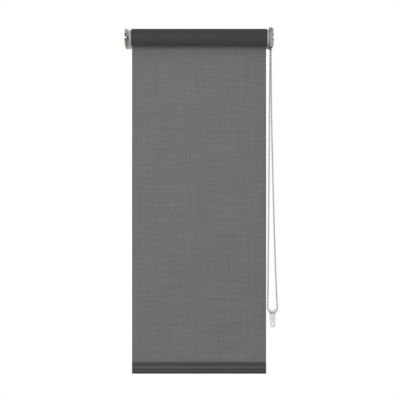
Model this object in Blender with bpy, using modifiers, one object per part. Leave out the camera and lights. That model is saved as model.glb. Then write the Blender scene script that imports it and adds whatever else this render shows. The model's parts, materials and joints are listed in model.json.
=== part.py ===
"""Roller blind with a beaded-chain clutch, as separate pieces that come apart on a bench.

Units are metres and +Z is up. The origin is on the wall plane, midway between the two brackets,
at the height of the roller's axis. +X runs along the roller and +Y goes into the wall, so the
blind lies on the -Y side. It is modelled lowered.
"""
import math

import bmesh
import bpy
from mathutils import Matrix, Vector

COLLECTION_NAME = "roller_blind"

# Fits between pieces
GAP = 0.0003                      # between pieces that touch in the real blind
RUNNING_GAP = 0.0005              # around pieces that turn or slide
CUT_PAST = 0.001                  # how far a cutter runs past the face it cuts
HAIR = 1e-5                       # keeps two rounded corners from meeting in one point

# Cloth and roller
FABRIC_WIDTH = 0.340
FABRIC_THICKNESS = 0.0005
DROP = 0.820                      # roller axis down to the bottom rail's top edge
AXIS_TO_WALL = 0.032
WOUND_THICKNESS = 0.0046          # all the turns of cloth on the tube
TUBE_RADIUS = 0.016
TUBE_WALL = 0.0015
TAPE_THICKNESS = 0.0003
TAPE_MIDDLE = -90                 # degrees round the tube, from the wall side
TAPE_ARC = 36
TAPE_SHORT = 0.001                # cloth edge to the end of the tape

# Brackets
PLATE_THICKNESS = 0.002
PLATE_REACH = 0.024               # roller axis to the plate's front edge
PLATE_WALL_TOP = 0.0265           # roller axis to the plate's top edge at the wall
PLATE_WALL_BOTTOM = 0.02425       # and to its bottom edge there
PLATE_FRONT_HALF = 0.0184         # half the height of the plate at its front edge
PLATE_TOP_ROUND = 0.003
PLATE_BOTTOM_ROUND = 0.0085
FOOT_WIDTH = 0.024
FOOT_INNER_TOP = 0.018            # roller axis to the top of the foot's inner end
SCREW_SLOT_WIDTH = 0.005
SCREW_SLOT_HEIGHT = 0.0075
SCREW_SLOT_RISE = 0.0075          # roller axis height to a screw slot's middle
PIN_SLOT_HEIGHT = 0.0064
SLOT_LIP_ROUND = 0.0012
FOOT_ROUND = 0.004

# Idle end: spring-loaded pin in the left bracket
PLUG_LENGTH = 0.030               # the part of a plug that sits in the tube
IDLE_FLANGE_RIM = 0.001           # flange beyond the tube
FLANGE_LENGTH = 0.0055
FLANGE_CHAMFER = 0.0008
PLUG_CHAMFER = 0.001
IDLE_BORE_RADIUS = 0.005
IDLE_BORE_FLOOR = 0.0045          # material left beyond the end of the bore
PIN_PROUD = 0.0009                # past the outer face of the side plate
PIN_COLLAR_LENGTH = 0.002
PIN_TAIL_RADIUS = 0.002
PIN_TAIL_LENGTH = 0.0095
PIN_CHAMFER = 0.0006
BUSH_LENGTH = 0.003
IDLE_SPRING_WIRE = 0.0008
IDLE_SPRING_TURNS = 6
IDLE_SPRING_STEPS = 10            # points in a turn

# Clutch end: fixed spindle in the right bracket, with the sleeve and chain wheel turning on it
SPINDLE_RADIUS = 0.007
SPINDLE_NECK_RADIUS = 0.005
SPINDLE_INSIDE = 0.0325           # spindle length inside the cloth's edge
TONGUE_DEPTH = 0.0068
TONGUE_ROUND = 0.001
TONGUE_ROOT = 0.001               # how far the tongue starts inside the neck
TONGUE_PROUD = 0.0005             # past the outer face of the side plate
SLEEVE_BORE_RADIUS = 0.0096
CLUTCH_FLANGE_RIM = 0.0035        # flange beyond the tube
SPIGOT_RADIUS = 0.009
BRAKE_WIRE = 0.0012
BRAKE_TURNS = 4
BRAKE_STEPS = 16
BRAKE_TANG = 0.0006
WASHER_RADIUS = 0.0108
WASHER_THICKNESS = 0.0012
SCREW_RADIUS = 0.0015
SCREW_LENGTH = 0.012
SCREW_HEAD_RADIUS = 0.003
SCREW_HEAD_THICKNESS = 0.0017
SCREW_CROWN_HEIGHT = 0.0005
SCREW_CROWN_WIDTH = 0.0008
RECESS_REACH = 0.62               # share of the screw head's radius
RECESS_HALF_BLADE = 0.0004
RECESS_DEPTH = 0.0008

# Bead chain, chain wheel and its guard
BEAD_RADIUS = 0.00225
BEAD_PITCH = 0.006
LINK_RADIUS = 0.0006
POCKETS = 16
WHEEL_SIDE = 0.00045              # wheel beyond a bead, on either side
WHEEL_TOOTH = 0.001               # rim of the wheel beyond the pitch circle
LINK_SLOT = 0.0016
HUB_CLEAR = 0.0001                # wheel's core below the bottom of its pockets
RIM_SINK = 0.001                  # how far the toothed rims run down into the core
GUARD_ROOM = 0.0062               # a bead on the wheel to the inside of the guard's wall
GUARD_WALL = 0.0012
GUARD_PLATE = 0.0009
GUARD_DROP = 0.0275               # roller axis down to the guard's bottom edge
GUARD_CORNER = 0.006
GUARD_MOUTH_ROOM = 0.0019         # between a bead and the edge of the guard's mouth

# Bottom rail
RAIL_HEIGHT = 0.0288
RAIL_THICKNESS = 0.008            # of its upper part
RAIL_ROUND = 0.001
RAIL_SLOPE_TOP = 0.0092           # rail's top edge down to where its front slopes outward
RAIL_SLOPE_HEIGHT = 0.0054
RAIL_SLOPE_PROUD = 0.001
RAIL_LIP_HEIGHT = 0.0015          # small lip at the bottom of its front
RAIL_LIP_PROUD = 0.0004
RAIL_TOE = 0.0044                 # height of the part below the lip, which slopes back
RAIL_TOE_INSET = 0.001            # foot of that part, behind the upper part's front
RAIL_FOOT_ROUND = 0.0006
RAIL_MOUTH = 0.0014               # slot that the cloth hangs in
SPLINE_ROOM_RADIUS = 0.0025
SPLINE_ROOM_DEPTH = 0.0056        # rail's top edge down to the middle of the spline room
SPLINE_RADIUS = 0.0019
CHAMBER_DROP = 0.0150             # rail's top edge down to the hollow chamber
CHAMBER_FLOOR = 0.0038            # material below the chamber
CHAMBER_THICKNESS = 0.0050
CHAMBER_ROUND = 0.001
CAP_THICKNESS = 0.003
CAP_PEG_LENGTH = 0.010

# Chain tensioner, which the chain's lower bend runs through. Places are from the wheel's middle.
BEND_ASIDE = 0.0048
BEND_DROP = 0.6807
BEND_RADIUS = 0.0117
TENSIONER_TOP_HALF = 0.0078
TENSIONER_BOTTOM_HALF = 0.0065
TENSIONER_TOP = -0.0009           # from the middle of the bend
TENSIONER_DIP = 0.0038
TENSIONER_HEIGHT = 0.0463
TENSIONER_ROUND = 0.003
TENSIONER_LIP = 0.0012            # flat on either side of the dip in its top
TENSIONER_WALL = 0.00135          # outside the chain's channel
TENSIONER_HOLE_RADIUS = 0.003
TENSIONER_HOLE_DROP = 0.0393
TENSIONER_PEG_RADIUS = 0.0013
TENSIONER_PEG_DROP = 0.0245
CHAIN_ROOM = 0.0004

# The chain's free loop, from the front mouth of the guard round to the rear one, as places from
# the wheel's middle: the front strand going down, and the rear strand going up
CHAIN_START = -0.0290
FRONT_STRAND = [
    (0.0000, -0.0154, CHAIN_START),
    (0.0001, -0.0146, -0.0650),
    (0.0013, -0.0120, -0.1830),
    (0.0041, -0.0090, -0.3100),
    (0.0085, -0.0051, -0.4700),
    (0.0134, -0.0016, -0.6096),
    (0.0159, -0.0003, -0.6580),
]
REAR_STRAND = [
    (-0.0067, 0.0002, -0.6580),
    (-0.0060, 0.0013, -0.6096),
    (-0.0046, 0.0047, -0.4700),
    (-0.0030, 0.0085, -0.3100),
    (-0.0017, 0.0117, -0.1830),
    (-0.0004, 0.0146, -0.0650),
    (0.0000, 0.0154, CHAIN_START),
]
BEND_POINTS = 7
STRAND_STEP = 0.0185              # between the tube's points where the chain hangs straight
BEND_STEP = 0.0035                # and round its lower bend

# Sizes and places worked out from the ones above
EDGE_X = FABRIC_WIDTH / 2
TAPE_IN_RADIUS = TUBE_RADIUS + GAP
WOUND_IN_RADIUS = TAPE_IN_RADIUS + TAPE_THICKNESS + GAP
ROLL_RADIUS = WOUND_IN_RADIUS + WOUND_THICKNESS
PLUG_RADIUS = TUBE_RADIUS - TUBE_WALL - GAP
IDLE_FLANGE_RADIUS = TUBE_RADIUS + IDLE_FLANGE_RIM
CLUTCH_FLANGE_RADIUS = TUBE_RADIUS + CLUTCH_FLANGE_RIM
PIN_RADIUS = PIN_SLOT_HEIGHT / 2 - GAP
PITCH_RADIUS = BEAD_PITCH / 2 / math.sin(math.pi / POCKETS)
WHEEL_WIDTH = 2 * (BEAD_RADIUS + WHEEL_SIDE)
GUARD_MOUTH_HALF = PITCH_RADIUS + BEAD_RADIUS + GUARD_MOUTH_ROOM
GUARD_RADIUS = PITCH_RADIUS + BEAD_RADIUS + GUARD_ROOM + GUARD_WALL
FLANGE_OUT_X = EDGE_X + FLANGE_LENGTH
GUARD_IN_X = FLANGE_OUT_X + GAP
WHEEL_IN_X = GUARD_IN_X + GUARD_PLATE + GAP
WHEEL_OUT_X = WHEEL_IN_X + WHEEL_WIDTH
GUARD_FLOOR_X = WHEEL_OUT_X + GAP
GUARD_OUT_X = GUARD_FLOOR_X + GUARD_PLATE
PLATE_IN_X = GUARD_OUT_X + GAP
PLATE_OUT_X = PLATE_IN_X + PLATE_THICKNESS
PLATE_FRONT_Y = -AXIS_TO_WALL - PLATE_REACH
PIN_SLOT_END_Y = -AXIS_TO_WALL + PIN_SLOT_HEIGHT / 2
FABRIC_Y = -AXIS_TO_WALL + ROLL_RADIUS + GAP + FABRIC_THICKNESS / 2
CHAMBER_HEIGHT = RAIL_HEIGHT - CHAMBER_DROP - CHAMBER_FLOOR
TENSIONER_THICKNESS = 2 * (BEAD_RADIUS + CHAIN_ROOM + TENSIONER_WALL)
WHEEL_MIDDLE = Vector(((WHEEL_IN_X + WHEEL_OUT_X) / 2, -AXIS_TO_WALL, 0))
BEND_MIDDLE = WHEEL_MIDDLE + Vector((BEND_ASIDE, 0, -BEND_DROP))

COLOURS = {
    "bracket": ((0.42, 0.42, 0.38), 0.45, 0.0),
    "cloth": ((0.16, 0.16, 0.155), 0.9, 0.0),
    "roll": ((0.065, 0.065, 0.065), 0.9, 0.0),
    "aluminium": ((0.60, 0.60, 0.61), 0.35, 1.0),
    "steel": ((0.55, 0.55, 0.56), 0.3, 1.0),
    "nickel": ((0.50, 0.50, 0.49), 0.2, 1.0),
    "grey_plastic": ((0.36, 0.36, 0.33), 0.45, 0.0),
    "dark_plastic": ((0.05, 0.05, 0.05), 0.5, 0.0),
    "rail": ((0.064, 0.062, 0.062), 0.4, 0.0),
    "clear_plastic": ((0.66, 0.66, 0.64), 0.25, 0.0),
    "tape": ((0.60, 0.58, 0.50), 0.6, 0.0),
}

# A drawing's x, y and depth as world axes: seen along the roller, and seen from the front
ALONG_X = Matrix(((0, 0, 1), (1, 0, 0), (0, 1, 0))).to_4x4()
ALONG_Y = Matrix(((1, 0, 0), (0, 0, -1), (0, 1, 0))).to_4x4()


def clear_scene():
    for obj in list(bpy.data.objects):
        bpy.data.objects.remove(obj, do_unlink=True)


def new_collection(name):
    collection = bpy.data.collections.new(name)
    bpy.context.scene.collection.children.link(collection)
    return collection


def new_material(name):
    colour, roughness, metallic = COLOURS[name]
    material = bpy.data.materials.new(name)
    material.use_nodes = True
    material.diffuse_color = (*colour, 1)
    shader = material.node_tree.nodes["Principled BSDF"]
    shader.inputs["Base Color"].default_value = (*colour, 1)
    shader.inputs["Roughness"].default_value = roughness
    shader.inputs["Metallic"].default_value = metallic
    return material


def weld(mesh):
    work = bmesh.new()
    work.from_mesh(mesh)
    bmesh.ops.remove_doubles(work, verts=work.verts, dist=1e-6)
    bmesh.ops.recalc_face_normals(work, faces=work.faces)
    work.to_mesh(mesh)
    work.free()


def add(name, data, material=None, matrix=None):
    """Put new data in the scene: a part if it has a material, a cutter if not."""
    obj = bpy.data.objects.new(name, data)
    obj.matrix_world = matrix or Matrix.Identity(4)
    if material:
        parts.objects.link(obj)
        data.materials.append(new_material(material))
    else:
        cutters.objects.link(obj)
        obj.hide_render = True
        obj.display_type = "WIRE"
    return obj


def meshed(curve_obj, name, material):
    """The curve object as a welded mesh object in the same place."""
    bpy.context.view_layer.update()
    evaluated = curve_obj.evaluated_get(bpy.context.evaluated_depsgraph_get())
    mesh = bpy.data.meshes.new_from_object(evaluated)
    matrix = curve_obj.matrix_world.copy()
    bpy.data.objects.remove(curve_obj, do_unlink=True)
    mesh.materials.clear()
    weld(mesh)
    return add(name, mesh, material, matrix)


def prism(name, material, outlines, axes, middle, depth):
    """Closed outlines, the first outside and the rest holes, extruded by depth about middle."""
    curve = bpy.data.curves.new(name, "CURVE")
    curve.dimensions = "2D"
    curve.fill_mode = "BOTH"
    curve.extrude = depth / 2
    for outline in outlines:
        spline = curve.splines.new("POLY")
        spline.points.add(len(outline) - 1)
        for point, (u, v) in zip(spline.points, outline):
            point.co = (u, v, 0, 1)
        spline.use_cyclic_u = True
    drawing = add(name, curve, None, Matrix.Translation(middle) @ axes)
    return meshed(drawing, name, material)


def turned(name, material, profile, steps=48, middle=(0, -AXIS_TO_WALL, 0)):
    """Turn (radius, x) points about the roller's axis. They run down the outer side, which is
    from high x to low x, and back up the bore if there is one."""
    mesh = bpy.data.meshes.new(name)
    closed = all(radius > 0 for radius, _ in profile)
    count = len(profile)
    edges = [(i, (i + 1) % count) for i in range(count if closed else count - 1)]
    mesh.from_pydata([(radius, 0, x) for radius, x in profile], edges, [])
    obj = add(name, mesh, material, Matrix.Translation(middle) @ Matrix.Rotation(math.pi / 2, 4, "Y"))
    screw = obj.modifiers.new("turn", "SCREW")
    screw.steps = screw.render_steps = steps
    screw.use_merge_vertices = True
    screw.merge_threshold = 1e-5
    screw.use_smooth_shade = True
    return obj


def box(name, material, low, high):
    bpy.ops.mesh.primitive_cube_add(size=1)
    obj = bpy.context.object
    mesh = obj.data
    bpy.data.objects.remove(obj, do_unlink=True)
    mesh.name = name
    low, high = Vector(low), Vector(high)
    mesh.transform(Matrix.Translation((low + high) / 2) @ Matrix.Diagonal((*(high - low), 1)))
    return add(name, mesh, material)


def rod(name, material, radius, start, end, sides=24):
    """A round bar between two points."""
    start, end = Vector(start), Vector(end)
    work = bmesh.new()
    bmesh.ops.create_cone(work, cap_ends=True, segments=sides, radius1=radius, radius2=radius,
                          depth=(end - start).length)
    mesh = bpy.data.meshes.new(name)
    work.to_mesh(mesh)
    work.free()
    turn = (end - start).to_track_quat("Z", "Y").to_matrix().to_4x4()
    obj = add(name, mesh, material, Matrix.Translation((start + end) / 2) @ turn)
    shade_round(obj)
    return obj


def tube(name, material, points, radius, resolution=2):
    """A round wire through the points, with closed ends."""
    curve = bpy.data.curves.new(name, "CURVE")
    curve.dimensions = "3D"
    curve.bevel_depth = radius
    curve.bevel_resolution = resolution
    curve.use_fill_caps = True
    spline = curve.splines.new("POLY")
    spline.points.add(len(points) - 1)
    for point, place in zip(spline.points, points):
        point.co = (*place, 1)
    return add(name, curve, material)


def join(obj, other):
    boolean(obj, other, "UNION")


def cut(obj, cutter):
    boolean(obj, cutter, "DIFFERENCE")


def boolean(obj, other, operation):
    modifier = obj.modifiers.new(other.name, "BOOLEAN")
    modifier.operation = operation
    modifier.solver = "EXACT"
    modifier.object = other


def shade_round(obj, angle=math.radians(35)):
    obj.data.shade_smooth()
    obj.data.set_sharp_from_angle(angle=angle)


def set_origin(obj, place):
    """Move the object's origin to a world point and leave its shape where it is."""
    bpy.context.view_layer.update()
    shift = Matrix.Translation(place)
    obj.data.transform(shift.inverted() @ obj.matrix_world)
    obj.matrix_world = shift


def arc(centre, radius, start, end, count):
    """Points on an arc, in degrees, both ends included."""
    angles = [math.radians(start + (end - start) * i / (count - 1)) for i in range(count)]
    return [(centre[0] + radius * math.cos(a), centre[1] + radius * math.sin(a)) for a in angles]


def circle(centre, radius, sides=32):
    return arc(centre, radius, 0, 360 - 360 / sides, sides)


def rounded(corners, radii, count=5):
    """A polygon with its corners rounded by the radius given for each."""
    outline = []
    for i, (corner, radius) in enumerate(zip(corners, radii)):
        here = Vector(corner)
        back = (Vector(corners[i - 1]) - here).normalized()
        ahead = (Vector(corners[(i + 1) % len(corners)]) - here).normalized()
        if radius == 0:
            outline.append(tuple(here))
            continue
        half = back.angle(ahead) / 2
        centre = here + (back + ahead).normalized() * radius / math.sin(half)
        first = here + back * radius / math.tan(half) - centre
        last = here + ahead * radius / math.tan(half) - centre
        sweep = first.angle_signed(last)
        for k in range(count):
            turn = Matrix.Rotation(-sweep * k / (count - 1), 2)
            outline.append(tuple(centre + turn @ first))
    return outline


def rectangle(u0, v0, u1, v1, radius=0.0, count=4):
    return rounded([(u0, v0), (u1, v0), (u1, v1), (u0, v1)], [radius] * 4, count)


def smooth_route(points, per_span=24):
    """A dense Catmull-Rom curve through the points."""
    route = [Vector(p) for p in points]
    ends = [2 * route[0] - route[1]] + route + [2 * route[-1] - route[-2]]
    dense = []
    for a, b, c, d in zip(ends, ends[1:], ends[2:], ends[3:]):
        knots = [0.0]
        for p, q in ((a, b), (b, c), (c, d)):
            knots.append(knots[-1] + math.sqrt((q - p).length))
        t0, t1, t2, t3 = knots
        for k in range(per_span):
            t = t1 + (t2 - t1) * k / per_span
            ab = a * ((t1 - t) / (t1 - t0)) + b * ((t - t0) / (t1 - t0))
            bc = b * ((t2 - t) / (t2 - t1)) + c * ((t - t1) / (t2 - t1))
            cd = c * ((t3 - t) / (t3 - t2)) + d * ((t - t2) / (t3 - t2))
            abc = ab * ((t2 - t) / (t2 - t0)) + bc * ((t - t0) / (t2 - t0))
            bcd = bc * ((t3 - t) / (t3 - t1)) + cd * ((t - t1) / (t3 - t1))
            dense.append(abc * ((t2 - t) / (t2 - t1)) + bcd * ((t - t1) / (t2 - t1)))
    return dense + [route[-1]]


def read_route(dense, step_at):
    """Points along a dense curve, each a step from the one before."""
    picked = [dense[0]]
    for point in dense[1:-1]:
        step = step_at(point)
        if (point - picked[-1]).length >= step and (point - dense[-1]).length >= step / 2:
            picked.append(point)
    return picked + [dense[-1]]


def helix(radius, x_start, x_end, turns, per_turn):
    count = turns * per_turn + 1
    points = []
    for i in range(count):
        angle = 2 * math.pi * i / per_turn
        x = x_start + (x_end - x_start) * i / (count - 1)
        points.append((x, -AXIS_TO_WALL + radius * math.cos(angle), radius * math.sin(angle)))
    return points


def make_bracket(name, side):
    """A pressed L: a side plate with a front-open slot, and a wall foot folded inward."""
    slot_half = PIN_SLOT_HEIGHT / 2
    plate = rounded(
        [(0, PLATE_WALL_TOP), (PLATE_FRONT_Y, PLATE_FRONT_HALF),
         (PLATE_FRONT_Y, slot_half), (PIN_SLOT_END_Y, slot_half),
         (PIN_SLOT_END_Y, -slot_half), (PLATE_FRONT_Y, -slot_half),
         (PLATE_FRONT_Y, -PLATE_FRONT_HALF), (0, -PLATE_WALL_BOTTOM)],
        [0, PLATE_TOP_ROUND, SLOT_LIP_ROUND, slot_half - HAIR,
         slot_half - HAIR, SLOT_LIP_ROUND, PLATE_BOTTOM_ROUND, 0])
    bracket = prism(name, "bracket", [plate], ALONG_X,
                    (side * (PLATE_OUT_X - PLATE_THICKNESS / 2), 0, 0), PLATE_THICKNESS)
    foot_in = PLATE_OUT_X - FOOT_WIDTH
    foot_out = PLATE_OUT_X - PLATE_THICKNESS / 2
    slot_x = side * (foot_in + PLATE_IN_X) / 2
    foot_outline = rounded(
        [(side * foot_in, -PLATE_WALL_BOTTOM), (side * foot_out, -PLATE_WALL_BOTTOM),
         (side * foot_out, PLATE_WALL_TOP), (side * foot_in, FOOT_INNER_TOP)],
        [FOOT_ROUND, 0, 0, FOOT_ROUND])
    slots = [rectangle(slot_x - SCREW_SLOT_WIDTH / 2, z - SCREW_SLOT_HEIGHT / 2,
                       slot_x + SCREW_SLOT_WIDTH / 2, z + SCREW_SLOT_HEIGHT / 2,
                       SCREW_SLOT_WIDTH / 2 - HAIR)
             for z in (-SCREW_SLOT_RISE, SCREW_SLOT_RISE)]
    foot = prism(name + "_foot", None, [foot_outline, *slots], ALONG_Y,
                 (0, -PLATE_THICKNESS / 2, 0), PLATE_THICKNESS)
    join(bracket, foot)
    return bracket


def make_roller():
    tube_in = TUBE_RADIUS - TUBE_WALL
    end_x = EDGE_X - GAP
    turned("roller_tube", "aluminium",
           [(TUBE_RADIUS, end_x), (TUBE_RADIUS, -end_x), (tube_in, -end_x), (tube_in, end_x)])
    turned("wound_fabric", "roll",
           [(ROLL_RADIUS, EDGE_X), (ROLL_RADIUS, -EDGE_X),
            (WOUND_IN_RADIUS, -EDGE_X), (WOUND_IN_RADIUS, EDGE_X)])
    axis = (-AXIS_TO_WALL, 0)
    first, last = TAPE_MIDDLE - TAPE_ARC / 2, TAPE_MIDDLE + TAPE_ARC / 2
    strip = (arc(axis, TAPE_IN_RADIUS + TAPE_THICKNESS, first, last, 7)
             + arc(axis, TAPE_IN_RADIUS, last, first, 7))
    tape = prism("fabric_tape", "tape", [strip], ALONG_X, (0, 0, 0), FABRIC_WIDTH - 2 * TAPE_SHORT)
    set_origin(tape, (0, -AXIS_TO_WALL, 0))


def make_idle_end():
    flange = -EDGE_X - GAP
    plug_end = -EDGE_X + PLUG_LENGTH
    bore_end = plug_end - IDLE_BORE_FLOOR
    turned("idle_plug", "grey_plastic",
           [(0, plug_end), (PLUG_RADIUS - PLUG_CHAMFER, plug_end),
            (PLUG_RADIUS, plug_end - PLUG_CHAMFER), (PLUG_RADIUS, flange),
            (IDLE_FLANGE_RADIUS, flange), (IDLE_FLANGE_RADIUS, -FLANGE_OUT_X + FLANGE_CHAMFER),
            (IDLE_FLANGE_RADIUS - FLANGE_CHAMFER, -FLANGE_OUT_X), (IDLE_BORE_RADIUS, -FLANGE_OUT_X),
            (IDLE_BORE_RADIUS, bore_end), (0, bore_end)])
    bush_out = IDLE_BORE_RADIUS - GAP
    bush_in = PIN_RADIUS + RUNNING_GAP
    bush_x = -FLANGE_OUT_X + GAP
    turned("idle_bush", "dark_plastic",
           [(bush_out, bush_x + BUSH_LENGTH), (bush_out, bush_x),
            (bush_in, bush_x), (bush_in, bush_x + BUSH_LENGTH)], 32)
    tip = -PLATE_OUT_X - PIN_PROUD
    collar = bush_x + BUSH_LENGTH + GAP
    collar_end = collar + PIN_COLLAR_LENGTH
    tail_end = collar_end + PIN_TAIL_LENGTH
    turned("idle_pin", "steel",
           [(0, tail_end), (PIN_TAIL_RADIUS, tail_end), (PIN_TAIL_RADIUS, collar_end),
            (IDLE_BORE_RADIUS - RUNNING_GAP, collar_end), (IDLE_BORE_RADIUS - RUNNING_GAP, collar),
            (PIN_RADIUS, collar), (PIN_RADIUS, tip + PIN_CHAMFER), (PIN_RADIUS - PIN_CHAMFER, tip),
            (0, tip)], 32)
    room_in, room_out = PIN_TAIL_RADIUS + RUNNING_GAP, IDLE_BORE_RADIUS - GAP
    coil = helix((room_in + room_out) / 2, collar_end + GAP + IDLE_SPRING_WIRE / 2,
                 bore_end - GAP - IDLE_SPRING_WIRE / 2, IDLE_SPRING_TURNS, IDLE_SPRING_STEPS)
    spring = tube("idle_spring", "steel", coil, IDLE_SPRING_WIRE / 2)
    set_origin(spring, (0, -AXIS_TO_WALL, 0))


def make_clutch():
    inside = EDGE_X - SPINDLE_INSIDE
    spindle = turned("clutch_spindle", "dark_plastic",
                     [(0, GUARD_OUT_X), (SPINDLE_NECK_RADIUS, GUARD_OUT_X),
                      (SPINDLE_NECK_RADIUS, WHEEL_OUT_X), (SPINDLE_RADIUS, WHEEL_OUT_X),
                      (SPINDLE_RADIUS, inside), (SCREW_RADIUS + GAP, inside),
                      (SCREW_RADIUS + GAP, inside + SCREW_LENGTH), (0, inside + SCREW_LENGTH)])
    half = PIN_SLOT_HEIGHT / 2 - GAP
    rear, front = PIN_SLOT_END_Y - GAP, PIN_SLOT_END_Y - GAP - TONGUE_DEPTH
    tongue_in, tongue_out = GUARD_OUT_X - TONGUE_ROOT, PLATE_OUT_X + TONGUE_PROUD
    tongue = rounded([(rear, -half), (rear, half), (front, half), (front, -half)],
                     [half - HAIR, half - HAIR, TONGUE_ROUND, TONGUE_ROUND])
    join(spindle, prism("spindle_tongue", None, [tongue], ALONG_X,
                        ((tongue_in + tongue_out) / 2, 0, 0), tongue_out - tongue_in))
    washer = inside - GAP
    turned("spindle_washer", "steel",
           [(WASHER_RADIUS, washer), (WASHER_RADIUS, washer - WASHER_THICKNESS),
            (SCREW_RADIUS + GAP, washer - WASHER_THICKNESS), (SCREW_RADIUS + GAP, washer)], 32)
    head = washer - WASHER_THICKNESS - GAP
    head_out = head - SCREW_HEAD_THICKNESS
    screw = turned("spindle_screw", "steel",
                   [(0, head + SCREW_LENGTH), (SCREW_RADIUS, head + SCREW_LENGTH), (SCREW_RADIUS, head),
                    (SCREW_HEAD_RADIUS, head), (SCREW_HEAD_RADIUS, head_out + SCREW_CROWN_HEIGHT),
                    (SCREW_HEAD_RADIUS - SCREW_CROWN_WIDTH, head_out), (0, head_out)], 24)
    arm = SCREW_HEAD_RADIUS * RECESS_REACH
    for size_y, size_z in ((arm, RECESS_HALF_BLADE), (RECESS_HALF_BLADE, arm)):
        cut(screw, box("screw_recess", None,
                       (head_out - CUT_PAST, -AXIS_TO_WALL - size_y, -size_z),
                       (head_out + RECESS_DEPTH, -AXIS_TO_WALL + size_y, size_z)))
    sleeve_in = inside + GAP
    turned("drive_sleeve", "grey_plastic",
           [(SPIGOT_RADIUS, WHEEL_OUT_X), (SPIGOT_RADIUS, FLANGE_OUT_X),
            (CLUTCH_FLANGE_RADIUS - FLANGE_CHAMFER, FLANGE_OUT_X),
            (CLUTCH_FLANGE_RADIUS, FLANGE_OUT_X - FLANGE_CHAMFER),
            (CLUTCH_FLANGE_RADIUS, EDGE_X + GAP), (PLUG_RADIUS, EDGE_X + GAP), (PLUG_RADIUS, sleeve_in),
            (SLEEVE_BORE_RADIUS, sleeve_in), (SLEEVE_BORE_RADIUS, EDGE_X),
            (SPINDLE_RADIUS + RUNNING_GAP, EDGE_X), (SPINDLE_RADIUS + RUNNING_GAP, WHEEL_OUT_X)])
    spring_room = (EDGE_X - GAP - sleeve_in - GAP) / 2
    for i in range(2):
        first = sleeve_in + GAP + i * spring_room + BRAKE_WIRE / 2
        last = sleeve_in + GAP + (i + 1) * spring_room - GAP - BRAKE_WIRE / 2
        coil = helix(SPINDLE_RADIUS + GAP + BRAKE_WIRE / 2, first, last, BRAKE_TURNS, BRAKE_STEPS)
        coil.append((last, coil[-1][1] + BRAKE_TANG, coil[-1][2] + BRAKE_WIRE))
        tube("brake_spring_" + str(i + 1), "steel", coil, BRAKE_WIRE / 2)


def make_chain_wheel():
    """Two toothed rims with a slot between them for the chain's links."""
    axis = (-AXIS_TO_WALL, 0)
    rim = PITCH_RADIUS + WHEEL_TOOTH
    pocket = BEAD_RADIUS + GAP
    across = (rim ** 2 + PITCH_RADIUS ** 2 - pocket ** 2) / (2 * rim * PITCH_RADIUS)
    mouth = math.degrees(math.acos(across))
    inner = math.degrees(math.asin(rim * math.sin(math.radians(mouth)) / pocket))
    outline = []
    for i in range(POCKETS):
        middle = 360 * i / POCKETS
        a = math.radians(middle)
        centre = (axis[0] + PITCH_RADIUS * math.cos(a), PITCH_RADIUS * math.sin(a))
        outline += arc(centre, pocket, middle - inner, middle - 360 + inner, 7)
    rim_width = (WHEEL_WIDTH - LINK_SLOT) / 2
    core = PITCH_RADIUS - BEAD_RADIUS - GAP - HUB_CLEAR
    bore = SPIGOT_RADIUS + GAP
    wheel = turned("chain_wheel", "dark_plastic",
                   [(core, WHEEL_OUT_X), (core, WHEEL_IN_X),
                    (bore, WHEEL_IN_X), (bore, WHEEL_OUT_X)])
    for x in (WHEEL_IN_X + rim_width / 2, WHEEL_OUT_X - rim_width / 2):
        hole = circle(axis, bore + RIM_SINK)
        join(wheel, prism("wheel_rim", None, [outline, hole], ALONG_X, (x, 0, 0), rim_width))


def guard_outline(inset):
    radius = GUARD_RADIUS - inset
    left, right, bottom = -AXIS_TO_WALL - radius, -AXIS_TO_WALL + radius, -GUARD_DROP + inset
    corner = GUARD_CORNER - inset
    return (arc((-AXIS_TO_WALL, 0), radius, 0, 180, 25)
            + arc((left + corner, bottom + corner), corner, 180, 270, 6)
            + arc((right - corner, bottom + corner), corner, 270, 360, 6))


def make_guard():
    axis = (-AXIS_TO_WALL, 0)
    inner_hole = circle(axis, SPIGOT_RADIUS + RUNNING_GAP)
    prism("chain_guard_inner", "grey_plastic", [guard_outline(0), inner_hole], ALONG_X,
          (GUARD_IN_X + GUARD_PLATE / 2, 0, 0), GUARD_PLATE)
    outer_hole = circle(axis, SPINDLE_NECK_RADIUS + GAP)
    tray = prism("chain_guard_outer", "grey_plastic", [guard_outline(0), outer_hole], ALONG_X,
                 ((WHEEL_IN_X + GUARD_OUT_X) / 2, 0, 0), GUARD_OUT_X - WHEEL_IN_X)
    open_x = WHEEL_IN_X - CUT_PAST
    cut(tray, prism("guard_room", None, [guard_outline(GUARD_WALL)], ALONG_X,
                    ((open_x + GUARD_FLOOR_X) / 2, 0, 0), GUARD_FLOOR_X - open_x))
    cut(tray, box("guard_mouth", None,
                  (open_x, -AXIS_TO_WALL - GUARD_MOUTH_HALF, -GUARD_DROP - CUT_PAST),
                  (GUARD_FLOOR_X, -AXIS_TO_WALL + GUARD_MOUTH_HALF, -GUARD_DROP + GUARD_CORNER)))


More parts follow.
